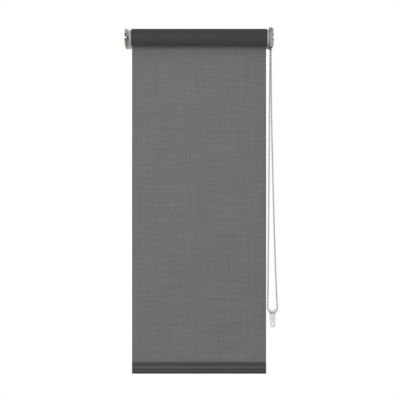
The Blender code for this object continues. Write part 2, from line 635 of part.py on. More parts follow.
def make_chain_over_wheel():
    """The beads that sit on the wheel and in the guard, joined by their link wire."""
    x = WHEEL_MIDDLE.x
    front, rear = -AXIS_TO_WALL - PITCH_RADIUS, -AXIS_TO_WALL + PITCH_RADIUS
    straight = int((GUARD_DROP - BEAD_RADIUS) / BEAD_PITCH)
    beads = [(x, front, -BEAD_PITCH * i) for i in range(straight, 0, -1)]
    for i in range(POCKETS // 2 + 1):
        angle = math.pi - 2 * math.pi * i / POCKETS
        beads.append((x, -AXIS_TO_WALL + PITCH_RADIUS * math.cos(angle),
                      PITCH_RADIUS * math.sin(angle)))
    beads += [(x, rear, -BEAD_PITCH * i) for i in range(1, straight + 1)]
    ends = [(x, front, -GUARD_DROP + GAP), (x, rear, -GUARD_DROP + GAP)]
    wire = tube("chain_over_wheel", None, [ends[0], *beads, ends[1]], LINK_RADIUS)
    chain = meshed(wire, "chain_over_wheel", "nickel")
    for index, place in enumerate(beads):
        work = bmesh.new()
        bmesh.ops.create_uvsphere(work, u_segments=10, v_segments=6, radius=BEAD_RADIUS)
        mesh = bpy.data.meshes.new("bead")
        work.to_mesh(mesh)
        work.free()
        # each bead is turned differently, so that no edge of one lies in a face of the wire
        turn = Matrix.Rotation(math.radians(7 + 11 * index), 4, "X") @ Matrix.Rotation(0.3, 4, "Y")
        join(chain, add("bead", mesh, None, Matrix.Translation(place) @ turn))


def make_free_chain():
    bend = []
    for i in range(BEND_POINTS):
        angle = math.pi * i / (BEND_POINTS - 1)
        bend.append(BEND_MIDDLE + BEND_RADIUS * Vector((math.cos(angle), 0, -math.sin(angle))))
    front = [WHEEL_MIDDLE + Vector(place) for place in FRONT_STRAND]
    rear = [WHEEL_MIDDLE + Vector(place) for place in REAR_STRAND]
    bend_top = BEND_MIDDLE.z + BEND_RADIUS
    points = read_route(smooth_route(front + bend + rear),
                        lambda place: BEND_STEP if place.z < bend_top else STRAND_STEP)
    chain = tube("bead_chain", "nickel", points, BEAD_RADIUS)
    set_origin(chain, WHEEL_MIDDLE + Vector((0, 0, CHAIN_START)))


def make_hanging_fabric():
    length = DROP + SPLINE_ROOM_DEPTH - SPLINE_RADIUS - GAP
    box("hanging_fabric", "cloth",
        (-EDGE_X, FABRIC_Y - FABRIC_THICKNESS / 2, -length),
        (EDGE_X, FABRIC_Y + FABRIC_THICKNESS / 2, 0))


def rail_outline(inside):
    """The rail's section, round to the cloth slot, whose inside points are given rear side first."""
    half = RAIL_THICKNESS / 2
    top, bottom = -DROP, -DROP - RAIL_HEIGHT
    upper, rear = FABRIC_Y - half, FABRIC_Y + half
    lower = upper - RAIL_SLOPE_PROUD
    slope_top = top - RAIL_SLOPE_TOP
    toe = bottom + RAIL_TOE
    foot = upper + RAIL_TOE_INSET + RAIL_FOOT_ROUND
    mouth = RAIL_MOUTH / 2
    outline = [(FABRIC_Y - mouth, top)]
    outline += arc((upper + RAIL_ROUND, top - RAIL_ROUND), RAIL_ROUND, 90, 180, 5)
    outline += [(upper, slope_top), (lower, slope_top - RAIL_SLOPE_HEIGHT),
                (lower, toe + RAIL_LIP_HEIGHT), (lower - RAIL_LIP_PROUD, toe)]
    outline += arc((foot, bottom + RAIL_FOOT_ROUND), RAIL_FOOT_ROUND, 180, 270, 5)
    outline += arc((rear - RAIL_ROUND, bottom + RAIL_ROUND), RAIL_ROUND, 270, 360, 5)
    outline += arc((rear - RAIL_ROUND, top - RAIL_ROUND), RAIL_ROUND, 0, 90, 5)
    return outline + [(FABRIC_Y + mouth, top)] + inside


def make_bottom_rail():
    length = FABRIC_WIDTH - 2 * (CAP_THICKNESS + GAP)
    chamber_top = -DROP - CHAMBER_DROP
    half = CHAMBER_THICKNESS / 2
    chamber = rectangle(FABRIC_Y - half, chamber_top - CHAMBER_HEIGHT, FABRIC_Y + half, chamber_top,
                        CHAMBER_ROUND)
    spline_z = -DROP - SPLINE_ROOM_DEPTH
    lip = math.degrees(math.asin(RAIL_MOUTH / 2 / SPLINE_ROOM_RADIUS))
    room = arc((FABRIC_Y, spline_z), SPLINE_ROOM_RADIUS, 90 - lip, -270 + lip, 15)
    prism("bottom_rail", "rail", [rail_outline(room), chamber], ALONG_X, (0, 0, 0), length)
    rod("rail_spline", "dark_plastic", SPLINE_RADIUS, (-length / 2 + GAP, FABRIC_Y, spline_z),
        (length / 2 - GAP, FABRIC_Y, spline_z), 16)
    peg = rectangle(FABRIC_Y - half + GAP, chamber_top - CHAMBER_HEIGHT + GAP,
                    FABRIC_Y + half - GAP, chamber_top - GAP, CHAMBER_ROUND)
    notch_z = spline_z + SPLINE_RADIUS
    notch = [(FABRIC_Y + RAIL_MOUTH / 2, notch_z), (FABRIC_Y - RAIL_MOUTH / 2, notch_z)]
    for name, side in (("end_cap_left", -1), ("end_cap_right", 1)):
        cap = prism(name, "rail", [rail_outline(notch)], ALONG_X,
                    (side * (EDGE_X - CAP_THICKNESS / 2), 0, 0), CAP_THICKNESS)
        peg_out = EDGE_X - CAP_THICKNESS / 2
        peg_in = EDGE_X - CAP_THICKNESS - CAP_PEG_LENGTH
        join(cap, prism("cap_peg", None, [peg], ALONG_X, (side * (peg_out + peg_in) / 2, 0, 0),
                        peg_out - peg_in))


def tensioner_outline():
    middle = BEND_MIDDLE.x
    top = BEND_MIDDLE.z + TENSIONER_TOP
    bottom = top - TENSIONER_HEIGHT
    foot = rounded([(middle + TENSIONER_TOP_HALF, top), (middle - TENSIONER_TOP_HALF, top),
                    (middle - TENSIONER_BOTTOM_HALF, bottom), (middle + TENSIONER_BOTTOM_HALF, bottom)],
                   [0, 0, TENSIONER_ROUND, TENSIONER_ROUND])
    half = TENSIONER_TOP_HALF - TENSIONER_LIP
    radius = (half ** 2 + TENSIONER_DIP ** 2) / (2 * TENSIONER_DIP)
    spread = math.degrees(math.asin(half / radius))
    dip = arc((middle, top + radius - TENSIONER_DIP), radius, -90 + spread, -90 - spread, 9)
    return foot[:1] + dip + foot[1:]


def make_tensioner():
    """Two moulded halves on either side of the chain's bend, with half of its channel in each."""
    half = TENSIONER_THICKNESS / 2
    depth = half - GAP / 2
    hole = circle((BEND_MIDDLE.x, BEND_MIDDLE.z - TENSIONER_HOLE_DROP), TENSIONER_HOLE_RADIUS, 24)
    peg_z = BEND_MIDDLE.z - TENSIONER_PEG_DROP
    for name, side in (("tensioner_front", -1), ("tensioner_back", 1)):
        middle_y = BEND_MIDDLE.y + side * (GAP / 2 + depth / 2)
        shell = prism(name, "clear_plastic", [tensioner_outline(), hole], ALONG_Y,
                      (0, middle_y, 0), depth)
        bpy.ops.mesh.primitive_torus_add(
            major_radius=BEND_RADIUS, minor_radius=BEAD_RADIUS + CHAIN_ROOM, major_segments=48,
            minor_segments=12)
        ring = bpy.context.object
        mesh = ring.data
        bpy.data.objects.remove(ring, do_unlink=True)
        place = Matrix.Translation(BEND_MIDDLE) @ Matrix.Rotation(math.pi / 2, 4, "X")
        cut(shell, add("chain_channel", mesh, None, place))
        if side < 0:
            join(shell, rod("tensioner_peg", None, TENSIONER_PEG_RADIUS,
                            (BEND_MIDDLE.x, BEND_MIDDLE.y - half / 2, peg_z),
                            (BEND_MIDDLE.x, BEND_MIDDLE.y + half / 2, peg_z), 16))
        else:
            cut(shell, rod("tensioner_peg_hole", None, TENSIONER_PEG_RADIUS + GAP,
                           (BEND_MIDDLE.x, BEND_MIDDLE.y - half, peg_z),
                           (BEND_MIDDLE.x, BEND_MIDDLE.y + half / 2 + GAP, peg_z), 16))
        set_origin(shell, BEND_MIDDLE)


clear_scene()
parts = new_collection(COLLECTION_NAME)
cutters = new_collection(COLLECTION_NAME + "_cutters")

make_bracket("bracket_left", -1)
make_bracket("bracket_right", 1)
make_roller()
make_idle_end()
make_clutch()
make_chain_wheel()
make_guard()
make_chain_over_wheel()
make_free_chain()
make_hanging_fabric()
make_bottom_rail()
make_tensioner()
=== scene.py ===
"""Roller blind: the pieces that are seen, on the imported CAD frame. Metres, +Z up, -Y to the room."""
import json
import math

import bmesh
import bpy
from mathutils import Matrix, Vector
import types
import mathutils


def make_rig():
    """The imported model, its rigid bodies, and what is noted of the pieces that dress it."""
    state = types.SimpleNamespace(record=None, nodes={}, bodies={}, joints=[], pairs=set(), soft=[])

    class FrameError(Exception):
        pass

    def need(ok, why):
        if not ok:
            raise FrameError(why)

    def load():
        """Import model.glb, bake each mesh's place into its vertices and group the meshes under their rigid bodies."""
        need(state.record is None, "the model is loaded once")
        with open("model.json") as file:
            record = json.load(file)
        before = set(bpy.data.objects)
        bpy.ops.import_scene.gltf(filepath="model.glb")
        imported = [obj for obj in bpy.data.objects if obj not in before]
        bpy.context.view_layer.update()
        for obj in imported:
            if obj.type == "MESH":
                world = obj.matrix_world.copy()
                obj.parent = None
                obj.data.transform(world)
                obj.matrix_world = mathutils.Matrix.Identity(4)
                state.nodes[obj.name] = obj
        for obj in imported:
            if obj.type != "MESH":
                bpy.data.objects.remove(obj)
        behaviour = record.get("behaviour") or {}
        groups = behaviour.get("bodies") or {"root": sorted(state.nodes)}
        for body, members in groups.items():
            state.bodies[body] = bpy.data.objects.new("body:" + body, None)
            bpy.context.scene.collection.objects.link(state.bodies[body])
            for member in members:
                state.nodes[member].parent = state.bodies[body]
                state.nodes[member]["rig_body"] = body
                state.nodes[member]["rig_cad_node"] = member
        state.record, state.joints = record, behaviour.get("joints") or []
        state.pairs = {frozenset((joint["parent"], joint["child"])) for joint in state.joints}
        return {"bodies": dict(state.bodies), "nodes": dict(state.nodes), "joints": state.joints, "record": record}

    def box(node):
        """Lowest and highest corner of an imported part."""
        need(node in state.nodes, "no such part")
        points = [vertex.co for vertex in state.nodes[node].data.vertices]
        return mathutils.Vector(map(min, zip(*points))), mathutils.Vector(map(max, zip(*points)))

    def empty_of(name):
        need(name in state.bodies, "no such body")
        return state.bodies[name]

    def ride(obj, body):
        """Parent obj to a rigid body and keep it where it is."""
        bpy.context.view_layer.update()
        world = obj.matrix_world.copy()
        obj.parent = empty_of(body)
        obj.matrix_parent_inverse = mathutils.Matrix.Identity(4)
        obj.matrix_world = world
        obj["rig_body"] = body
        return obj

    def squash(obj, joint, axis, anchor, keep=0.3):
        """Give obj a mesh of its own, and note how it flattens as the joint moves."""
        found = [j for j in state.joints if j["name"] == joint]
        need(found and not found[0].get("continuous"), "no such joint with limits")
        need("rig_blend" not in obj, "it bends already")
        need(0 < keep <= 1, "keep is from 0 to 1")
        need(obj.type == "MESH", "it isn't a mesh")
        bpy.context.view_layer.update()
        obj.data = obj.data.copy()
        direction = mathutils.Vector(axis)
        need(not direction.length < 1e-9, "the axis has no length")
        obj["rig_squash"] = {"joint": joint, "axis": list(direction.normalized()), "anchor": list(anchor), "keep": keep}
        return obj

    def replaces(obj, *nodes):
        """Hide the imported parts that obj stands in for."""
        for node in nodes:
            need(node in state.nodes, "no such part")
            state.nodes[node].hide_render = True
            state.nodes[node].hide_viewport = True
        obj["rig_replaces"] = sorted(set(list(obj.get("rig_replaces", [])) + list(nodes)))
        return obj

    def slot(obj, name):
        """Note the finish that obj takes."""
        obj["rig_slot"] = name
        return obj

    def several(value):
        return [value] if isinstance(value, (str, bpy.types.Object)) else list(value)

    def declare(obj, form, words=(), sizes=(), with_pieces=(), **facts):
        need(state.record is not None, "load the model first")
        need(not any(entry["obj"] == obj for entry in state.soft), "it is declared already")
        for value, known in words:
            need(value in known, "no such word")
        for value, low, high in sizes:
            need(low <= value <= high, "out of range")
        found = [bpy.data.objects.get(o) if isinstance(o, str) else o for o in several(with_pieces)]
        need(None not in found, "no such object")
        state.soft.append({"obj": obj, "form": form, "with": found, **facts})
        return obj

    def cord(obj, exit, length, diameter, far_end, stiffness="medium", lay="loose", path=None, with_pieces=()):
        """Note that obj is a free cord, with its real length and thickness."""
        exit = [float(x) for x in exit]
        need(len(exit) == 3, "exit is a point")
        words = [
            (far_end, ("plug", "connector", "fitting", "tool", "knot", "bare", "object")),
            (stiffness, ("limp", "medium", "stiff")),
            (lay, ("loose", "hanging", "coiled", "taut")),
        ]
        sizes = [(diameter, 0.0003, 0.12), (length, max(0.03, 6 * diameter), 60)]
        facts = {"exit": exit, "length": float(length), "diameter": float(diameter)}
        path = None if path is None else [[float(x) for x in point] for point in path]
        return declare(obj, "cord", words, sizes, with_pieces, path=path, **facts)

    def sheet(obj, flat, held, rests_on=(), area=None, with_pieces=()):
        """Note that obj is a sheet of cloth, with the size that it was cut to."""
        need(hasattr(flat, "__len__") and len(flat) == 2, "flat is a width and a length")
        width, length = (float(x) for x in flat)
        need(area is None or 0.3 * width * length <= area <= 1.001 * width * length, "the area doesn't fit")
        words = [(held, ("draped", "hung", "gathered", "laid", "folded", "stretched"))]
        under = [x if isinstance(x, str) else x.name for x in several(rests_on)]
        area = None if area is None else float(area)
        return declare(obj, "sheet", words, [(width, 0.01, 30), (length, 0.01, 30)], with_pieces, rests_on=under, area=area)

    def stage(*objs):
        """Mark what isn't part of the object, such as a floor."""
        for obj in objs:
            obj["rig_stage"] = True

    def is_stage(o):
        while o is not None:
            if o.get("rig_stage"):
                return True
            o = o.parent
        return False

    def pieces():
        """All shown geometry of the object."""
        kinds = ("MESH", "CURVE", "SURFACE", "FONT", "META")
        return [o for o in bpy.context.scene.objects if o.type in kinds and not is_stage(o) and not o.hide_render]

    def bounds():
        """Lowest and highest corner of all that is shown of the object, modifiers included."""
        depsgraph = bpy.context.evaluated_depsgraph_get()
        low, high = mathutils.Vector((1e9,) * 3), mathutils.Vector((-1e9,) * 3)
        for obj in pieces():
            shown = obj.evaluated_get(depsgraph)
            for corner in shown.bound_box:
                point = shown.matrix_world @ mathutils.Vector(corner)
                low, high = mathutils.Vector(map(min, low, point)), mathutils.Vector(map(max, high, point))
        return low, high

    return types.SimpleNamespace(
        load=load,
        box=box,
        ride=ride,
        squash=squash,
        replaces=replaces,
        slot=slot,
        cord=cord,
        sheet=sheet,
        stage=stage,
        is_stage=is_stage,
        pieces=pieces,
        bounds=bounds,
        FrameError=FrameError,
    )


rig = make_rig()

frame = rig.load()
cad_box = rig.bounds()

# Camera, lights and surroundings
LENS = 82.46
CAMERA_PLACE = (0.0023, -2.335, -0.4084)
FLOOR_Z = -1.35
FLOOR_LOW_Y, FLOOR_HIGH_Y = -2.3, 1.75
FLOOR_HALF_X = 2.2
KEY_POWER = 32
TOP_POWER = 2.0
# How bright the surround is, by the height of the direction: 0 straight down and 1 straight up
SURROUND = ((0.22, 0.12), (0.37, 1.0), (0.63, 1.0), (0.82, 0.30))

GAP = 0.0003                      # between pieces that touch in the real blind

# Sizes that follow the CAD nodes
EDGE_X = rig.box("wound_fabric")[1].x
AXIS_Y = (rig.box("wound_fabric")[0].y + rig.box("wound_fabric")[1].y) / 2
ROLL_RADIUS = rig.box("wound_fabric")[1].z
TUBE_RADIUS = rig.box("roller_tube")[1].z
FABRIC_LOW, FABRIC_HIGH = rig.box("hanging_fabric")
FABRIC_Y = (FABRIC_LOW.y + FABRIC_HIGH.y) / 2
RAIL_LOW, RAIL_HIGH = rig.box("end_cap_left")[0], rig.box("end_cap_right")[1]
JOINTS = {joint["name"]: joint for joint in frame["joints"]}
BLIND_TRAVEL = JOINTS["blind_travel"]["range_m"][1]
PIN_TRAVEL = JOINTS["idle_pin_slide"]["range_m"][1]

# The chain's free loop, from the front mouth of the guard round to the rear one
WHEEL_MIDDLE = Vector((0.1797, AXIS_Y, 0))
PITCH_RADIUS = 0.015377
POCKETS = 16
CHAIN_START = -0.0290
CHAIN_PIVOT_ROOM = 0.0014         # the wheel's last link stops at the mouth of the loop's first bead
FRONT_STRAND = [
    (0.0000, -0.0154, CHAIN_START),
    (0.0001, -0.0146, -0.0650),
    (0.0013, -0.0120, -0.1830),
    (0.0041, -0.0090, -0.3100),
    (0.0085, -0.0051, -0.4700),
    (0.0134, -0.0016, -0.6096),
    (0.0159, -0.0003, -0.6580),
]
REAR_STRAND = [
    (-0.0067, 0.0002, -0.6580),
    (-0.0060, 0.0013, -0.6096),
    (-0.0046, 0.0047, -0.4700),
    (-0.0030, 0.0085, -0.3100),
    (-0.0017, 0.0117, -0.1830),
    (-0.0004, 0.0146, -0.0650),
    (0.0000, 0.0154, CHAIN_START),
]
BEND_MIDDLE = WHEEL_MIDDLE + Vector((0.0048, 0, -0.6807))
BEND_RADIUS = 0.0117
BEND_POINTS = 7
BEAD_PITCH = 0.006
BEAD_DIAMETER = 0.0045
BEAD_HOLE_RADIUS = 0.0008
LINK_RADIUS = 0.00045
BEAD_TWIST = 0.4                  # radians from each bead to the next
BEADS_ABOVE_MOUTH = 4             # in each strand inside the guard, below the axis
CHAIN_LENGTH = 1.345

# A drawing's x, y and depth as world axes: seen along the roller, and seen from the front
ALONG_X = Matrix(((0, 0, 1), (1, 0, 0), (0, 1, 0))).to_4x4()
ALONG_Y = Matrix(((1, 0, 0), (0, 0, -1), (0, 1, 0))).to_4x4()


# ---- shapes

def add(name, mesh):
    obj = bpy.data.objects.new(name, mesh)
    bpy.context.scene.collection.objects.link(obj)
    return obj


def mesh_from(name, points, faces):
    mesh = bpy.data.meshes.new(name)
    mesh.from_pydata([tuple(p) for p in points], [], faces)
    mesh.validate()
    return mesh


def tidy(mesh, merge=1e-6):
    work = bmesh.new()
    work.from_mesh(mesh)
    bmesh.ops.remove_doubles(work, verts=work.verts, dist=merge)
    bmesh.ops.recalc_face_normals(work, faces=work.faces)
    work.to_mesh(mesh)
    work.free()


def arc(centre, radius, start, end, count):
    """Points on an arc, in degrees, both ends included."""
    angles = [math.radians(start + (end - start) * i / (count - 1)) for i in range(count)]
    return [(centre[0] + radius * math.cos(a), centre[1] + radius * math.sin(a)) for a in angles]


def circle(centre, radius, count=48):
    return arc(centre, radius, 0, 360 - 360 / count, count)


def rounded(corners, radii, count=6):
    """A polygon with its corners rounded by the radius given for each."""
    outline = []
    for i, (corner, radius) in enumerate(zip(corners, radii)):
        here = Vector(corner)
        back = (Vector(corners[i - 1]) - here).normalized()
        ahead = (Vector(corners[(i + 1) % len(corners)]) - here).normalized()
        if radius == 0:
            outline.append(tuple(here))
            continue
        half = back.angle(ahead) / 2
        centre = here + (back + ahead).normalized() * radius / math.sin(half)
        first = here + back * radius / math.tan(half) - centre
        last = here + ahead * radius / math.tan(half) - centre
        sweep = first.angle_signed(last)
        for k in range(count):
            outline.append(tuple(centre + Matrix.Rotation(-sweep * k / (count - 1), 2) @ first))
    return outline


def filled(name, outlines, depth):
    """Closed outlines, the first outside and the rest holes, as a flat or extruded mesh."""
    curve = bpy.data.curves.new(name, "CURVE")
    curve.dimensions = "2D"
    curve.fill_mode = "BOTH"
    curve.extrude = depth / 2
    for outline in outlines:
        spline = curve.splines.new("POLY")
        spline.points.add(len(outline) - 1)
        for point, (u, v) in zip(spline.points, outline):
            point.co = (u, v, 0, 1)
        spline.use_cyclic_u = True
    drawing = add(name, curve)
    bpy.context.view_layer.update()
    mesh = bpy.data.meshes.new_from_object(
        drawing.evaluated_get(bpy.context.evaluated_depsgraph_get()))
    bpy.data.objects.remove(drawing, do_unlink=True)
    mesh.materials.clear()
    tidy(mesh)
    return mesh


def prism(name, outlines, axes, middle, depth):
    mesh = filled(name, outlines, depth)
    mesh.transform(Matrix.Translation(middle) @ axes)
    return add(name, mesh)


def about_axis(x, radius, angle):
    """The place at this angle round the roller's axis."""
    return (x, AXIS_Y + radius * math.cos(angle), radius * math.sin(angle))


def bands(first, rows, sides, flipped=False):
    """Faces between closed rows of points, which are numbered on from the first."""
    faces = []
    for j in range(rows - 1):
        here, after = first + j * sides, first + (j + 1) * sides
        for k in range(sides):
            n = (k + 1) % sides
            face = (here + k, here + n, after + n, after + k)
            faces.append((face[0], *face[:0:-1]) if flipped else face)
    return faces


def turned(name, profile, steps=72, closed=True):
    """Turn (radius, x) points about the roller's axis."""
    points = [about_axis(x, radius, 2 * math.pi * k / steps) for radius, x in profile for k in range(steps)]
    faces = bands(0, len(profile), steps)
    if closed:
        last = (len(profile) - 1) * steps
        faces += [(last + k, last + (k + 1) % steps, (k + 1) % steps, k) for k in range(steps)]
    mesh = bpy.data.meshes.new(name)
    mesh.from_pydata(points, [], faces)
    tidy(mesh, 1e-7)
    mesh.validate()
    return add(name, mesh)


def pipe(name, outer, inner, low_x, high_x, steps=96):
    """A plain ring about the roller's axis."""
    return turned(name, [(outer, high_x), (outer, low_x), (inner, low_x), (inner, high_x)], steps)


def slab(name, outlines, x_start, x_end):
    """Outlines seen along the roller, filled from one x to another."""
    return prism(name, outlines, ALONG_X, ((x_start + x_end) / 2, 0, 0), abs(x_end - x_start))


def wire(name, points, radius, sides=10):
    """A round wire through the points, with flat ends."""
    route = [Vector(p) for p in points]
    count = len(route)
    verts = []
    normal = None
    for i, here in enumerate(route):
        ahead = (route[min(i + 1, count - 1)] - route[max(i - 1, 0)]).normalized()
        if normal is None:
            normal = ahead.orthogonal().normalized()
        normal = (normal - ahead * normal.dot(ahead)).normalized()
        side = ahead.cross(normal)
        for k in range(sides):
            a = 2 * math.pi * k / sides
            verts.append(here + radius * (math.cos(a) * normal + math.sin(a) * side))
    ends = [tuple(range(sides))[::-1], tuple(range((count - 1) * sides, count * sides))]
    return add(name, mesh_from(name, verts, bands(0, count, sides) + ends))


def helix(radius, x_start, x_end, turns, per_turn):
    count = turns * per_turn + 1
    return [about_axis(x_start + (x_end - x_start) * i / (count - 1), radius, 2 * math.pi * i / per_turn)
            for i in range(count)]


def block(name, x_ends, y_ends, z_ends):
    """A box between its two ends along each axis."""
    corners = [(x, y, z) for x in x_ends for y in y_ends for z in z_ends]
    obj = add(name, mesh_from(name, corners, [
        (0, 1, 3, 2), (4, 6, 7, 5), (0, 4, 5, 1), (2, 3, 7, 6), (0, 2, 6, 4), (1, 5, 7, 3)]))
    tidy(obj.data)
    return obj


def joined(name, *objects):
    """The objects' meshes in one object, without a Boolean."""
    work = bmesh.new()
    mesh = bpy.data.meshes.new(name)
    for obj in objects:
        obj.data.transform(obj.matrix_world)
        before = len(work.faces)
        work.from_mesh(obj.data)
        work.faces.ensure_lookup_table()
        for material in obj.data.materials:
            if material.name not in mesh.materials:
                mesh.materials.append(material)
            for face in work.faces[before:]:
                face.material_index = mesh.materials.find(material.name)
    work.to_mesh(mesh)
    work.free()
    for obj in objects:
        bpy.data.objects.remove(obj, do_unlink=True)
    return add(name, mesh)


def boolean(obj, other, operation):
    """Apply a Boolean and drop the other object."""
    modifier = obj.modifiers.new("shape", "BOOLEAN")
    modifier.operation, modifier.solver, modifier.object = operation, "EXACT", other
    apply_modifiers(obj)
    bpy.data.objects.remove(other, do_unlink=True)


def apply_modifiers(obj):
    bpy.context.view_layer.update()
    mesh = bpy.data.meshes.new_from_object(
        obj.evaluated_get(bpy.context.evaluated_depsgraph_get()))
    mesh.transform(obj.matrix_world)
    old, obj.data = obj.data, mesh
    bpy.data.meshes.remove(old)
    obj.matrix_world = Matrix.Identity(4)
    obj.modifiers.clear()


def soften(obj, width, segments=2, angle=35):
    """Round the hard edges by this width, if any, and shade the rest smooth."""
    obj.data.shade_smooth()
    obj.data.set_sharp_from_angle(angle=math.radians(angle))
    if width:
        bevel = obj.modifiers.new("edges", "BEVEL")
        bevel.width, bevel.segments = width, segments
        bevel.limit_method, bevel.angle_limit = "ANGLE", math.radians(angle)
        bevel.harden_normals = True
        bevel.use_clamp_overlap = True
    return obj


def place(obj, material, body, nodes=(), slot=None):
    """Give a piece its material, its body and the CAD nodes it stands for."""
    if material:
        obj.data.materials.clear()
        obj.data.materials.append(material)
    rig.ride(obj, body)
    if nodes:
        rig.replaces(obj, *nodes)
    if slot:
        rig.slot(obj, slot)
    return obj


# ---- materials

class Paint:
    """A Principled material with short calls for its nodes. Places are in metres in the part's frame."""

    def __init__(self, name, colour, roughness, metallic=0.0, **sockets):
        self.material = bpy.data.materials.new(name)
        self.material.use_nodes = True
        tree = self.material.node_tree
        self.nodes, self.links = tree.nodes, tree.links
        self.shader = self.nodes["Principled BSDF"]
        self.base = colour
        self.material.diffuse_color = (*colour, 1)
        self.shader.inputs["Base Color"].default_value = (*colour, 1)
        self.shader.inputs["Roughness"].default_value = roughness
        self.shader.inputs["Metallic"].default_value = metallic
        for key, value in sockets.items():
            self.shader.inputs[key.replace("_", " ")].default_value = value
        self.spot = self.add("ShaderNodeTexCoord").outputs["Object"]
        split = self.add("ShaderNodeSeparateXYZ", {0: self.spot})
        self.x, self.y, self.z = split.outputs

    def add(self, kind, inputs=(), **settings):
        node = self.nodes.new(kind)
        for key, value in settings.items():
            setattr(node, key, value)
        for key, value in dict(inputs).items():
            self.feed(node.inputs[key], value)
        return node

    def feed(self, socket, value):
        if isinstance(value, bpy.types.NodeSocket):
            self.links.new(value, socket)
        else:
            socket.default_value = value

    def math(self, operation, a, b=0.0, c=0.0):
        node = self.add("ShaderNodeMath", operation=operation)
        for socket, value in zip(node.inputs, (a, b, c)):
            self.feed(socket, value)
        return node.outputs[0]

    def plus(self, a, b):
        return self.math("ADD", a, b)

    def minus(self, a, b):
        return self.math("SUBTRACT", a, b)

    def times(self, a, b):
        return self.math("MULTIPLY", a, b)

    def noise(self, size, detail=2.0, roughness=0.5, at=None):
        """Noise from 0 to 1 whose features have this size along each axis."""
        if not isinstance(size, tuple):
            size = (size, size, size)
        mapping = self.add("ShaderNodeMapping", {
            "Vector": at or self.spot, "Scale": tuple(1 / s for s in size)})
        return self.add("ShaderNodeTexNoise", {
            "Vector": mapping.outputs[0], "Scale": 1.0, "Detail": detail,
            "Roughness": roughness}).outputs["Fac"]

    def span(self, value, low, high, to_low=0.0, to_high=1.0):
        return self.add("ShaderNodeMapRange", {
            "Value": value, "From Min": low, "From Max": high,
            "To Min": to_low, "To Max": to_high}).outputs["Result"]

    def tones(self, factor, *stops):
        """A colour ramp through (position, brightness of the base colour or a whole colour)."""
        node = self.add("ShaderNodeValToRGB", {"Fac": factor})
        ramp = node.color_ramp
        while len(ramp.elements) < len(stops):
            ramp.elements.new(0.5)
        for element, (position, tone) in zip(ramp.elements, stops):
            element.position = position
            colour = tone if isinstance(tone, tuple) else [c * tone for c in self.base]
            element.color = (*colour, 1)
        return node.outputs["Color"]

    def mix(self, factor, a, b, blend_type="MIX"):
        node = self.add("ShaderNodeMix", data_type="RGBA", blend_type=blend_type)
        for index, value in ((0, factor), (6, a), (7, b)):
            self.feed(node.inputs[index], (*value, 1) if isinstance(value, tuple) else value)
        return node.outputs[2]

    def shade(self, colour, brightness):
        """The colour times a brightness."""
        grey = self.add("ShaderNodeCombineColor", {0: brightness, 1: brightness, 2: brightness})
        return self.mix(1.0, colour, grey.outputs[0], "MULTIPLY")

    def finish(self, colour=None, roughness=None, height=None, depth=0.0001, strength=1.0):
        if colour is not None:
            self.links.new(colour, self.shader.inputs["Base Color"])
        if roughness is not None:
            self.links.new(roughness, self.shader.inputs["Roughness"])
        if height is not None:
            bump = self.add("ShaderNodeBump", {
                "Height": height, "Distance": depth, "Strength": strength})
            self.links.new(bump.outputs[0], self.shader.inputs["Normal"])
        return self.material


THREAD_PITCH = 0.00072
THREAD_WANDER = 0.0009            # how far a thread strays from side to side
SLUB_WIDTH, SLUB_LENGTH = 0.0011, 0.055
EDGE_DARK_BAND = 0.0012, 0.0034         # where the dark of the cloth's edges starts to fade and has gone
RUBBED_RING = 0.0034, 0.0075      # from the bracket slot's end
LIP_SHADE_DROP = 0.003                 # of the middle of the painted shade at the lips, below the slot's
LIP_SHADE_REACH = 0.0036, 0.0041       # from a lip, to where the painted shade fades and ends
LIP_SHADE_RAGGED = 0.0016
# The colour of the painted shade by the bracket slot's lips.
LIP_SHADE_COLOUR = (0.045, 0.045, 0.038)
PIN_BLACKING = (0.030, 0.029, 0.027)
PIN_BLACKED_FROM = -0.1815        # the pin is bright outside this x and blacked inside it


def scaled(colour, *shares):
    """The colour times a share, or a share each for red, green and blue."""
    return tuple(c * s for c, s in zip(colour, shares * 3))


def weave(paint, across, along):
    """Plain weave: the threads' height from 0 to 1, and 1 where an upright thread is on top."""
    u = paint.math("SINE", paint.times(across, math.pi / THREAD_PITCH))
    v = paint.math("SINE", paint.times(along, math.pi / THREAD_PITCH))
    warp = paint.times(paint.math("SIGN", u), paint.plus(u, v))
    weft = paint.times(paint.math("SIGN", v), paint.minus(v, u))
    height = paint.times(paint.math("MAXIMUM", warp, weft), 0.5)
    return height, paint.math("GREATER_THAN", warp, weft)


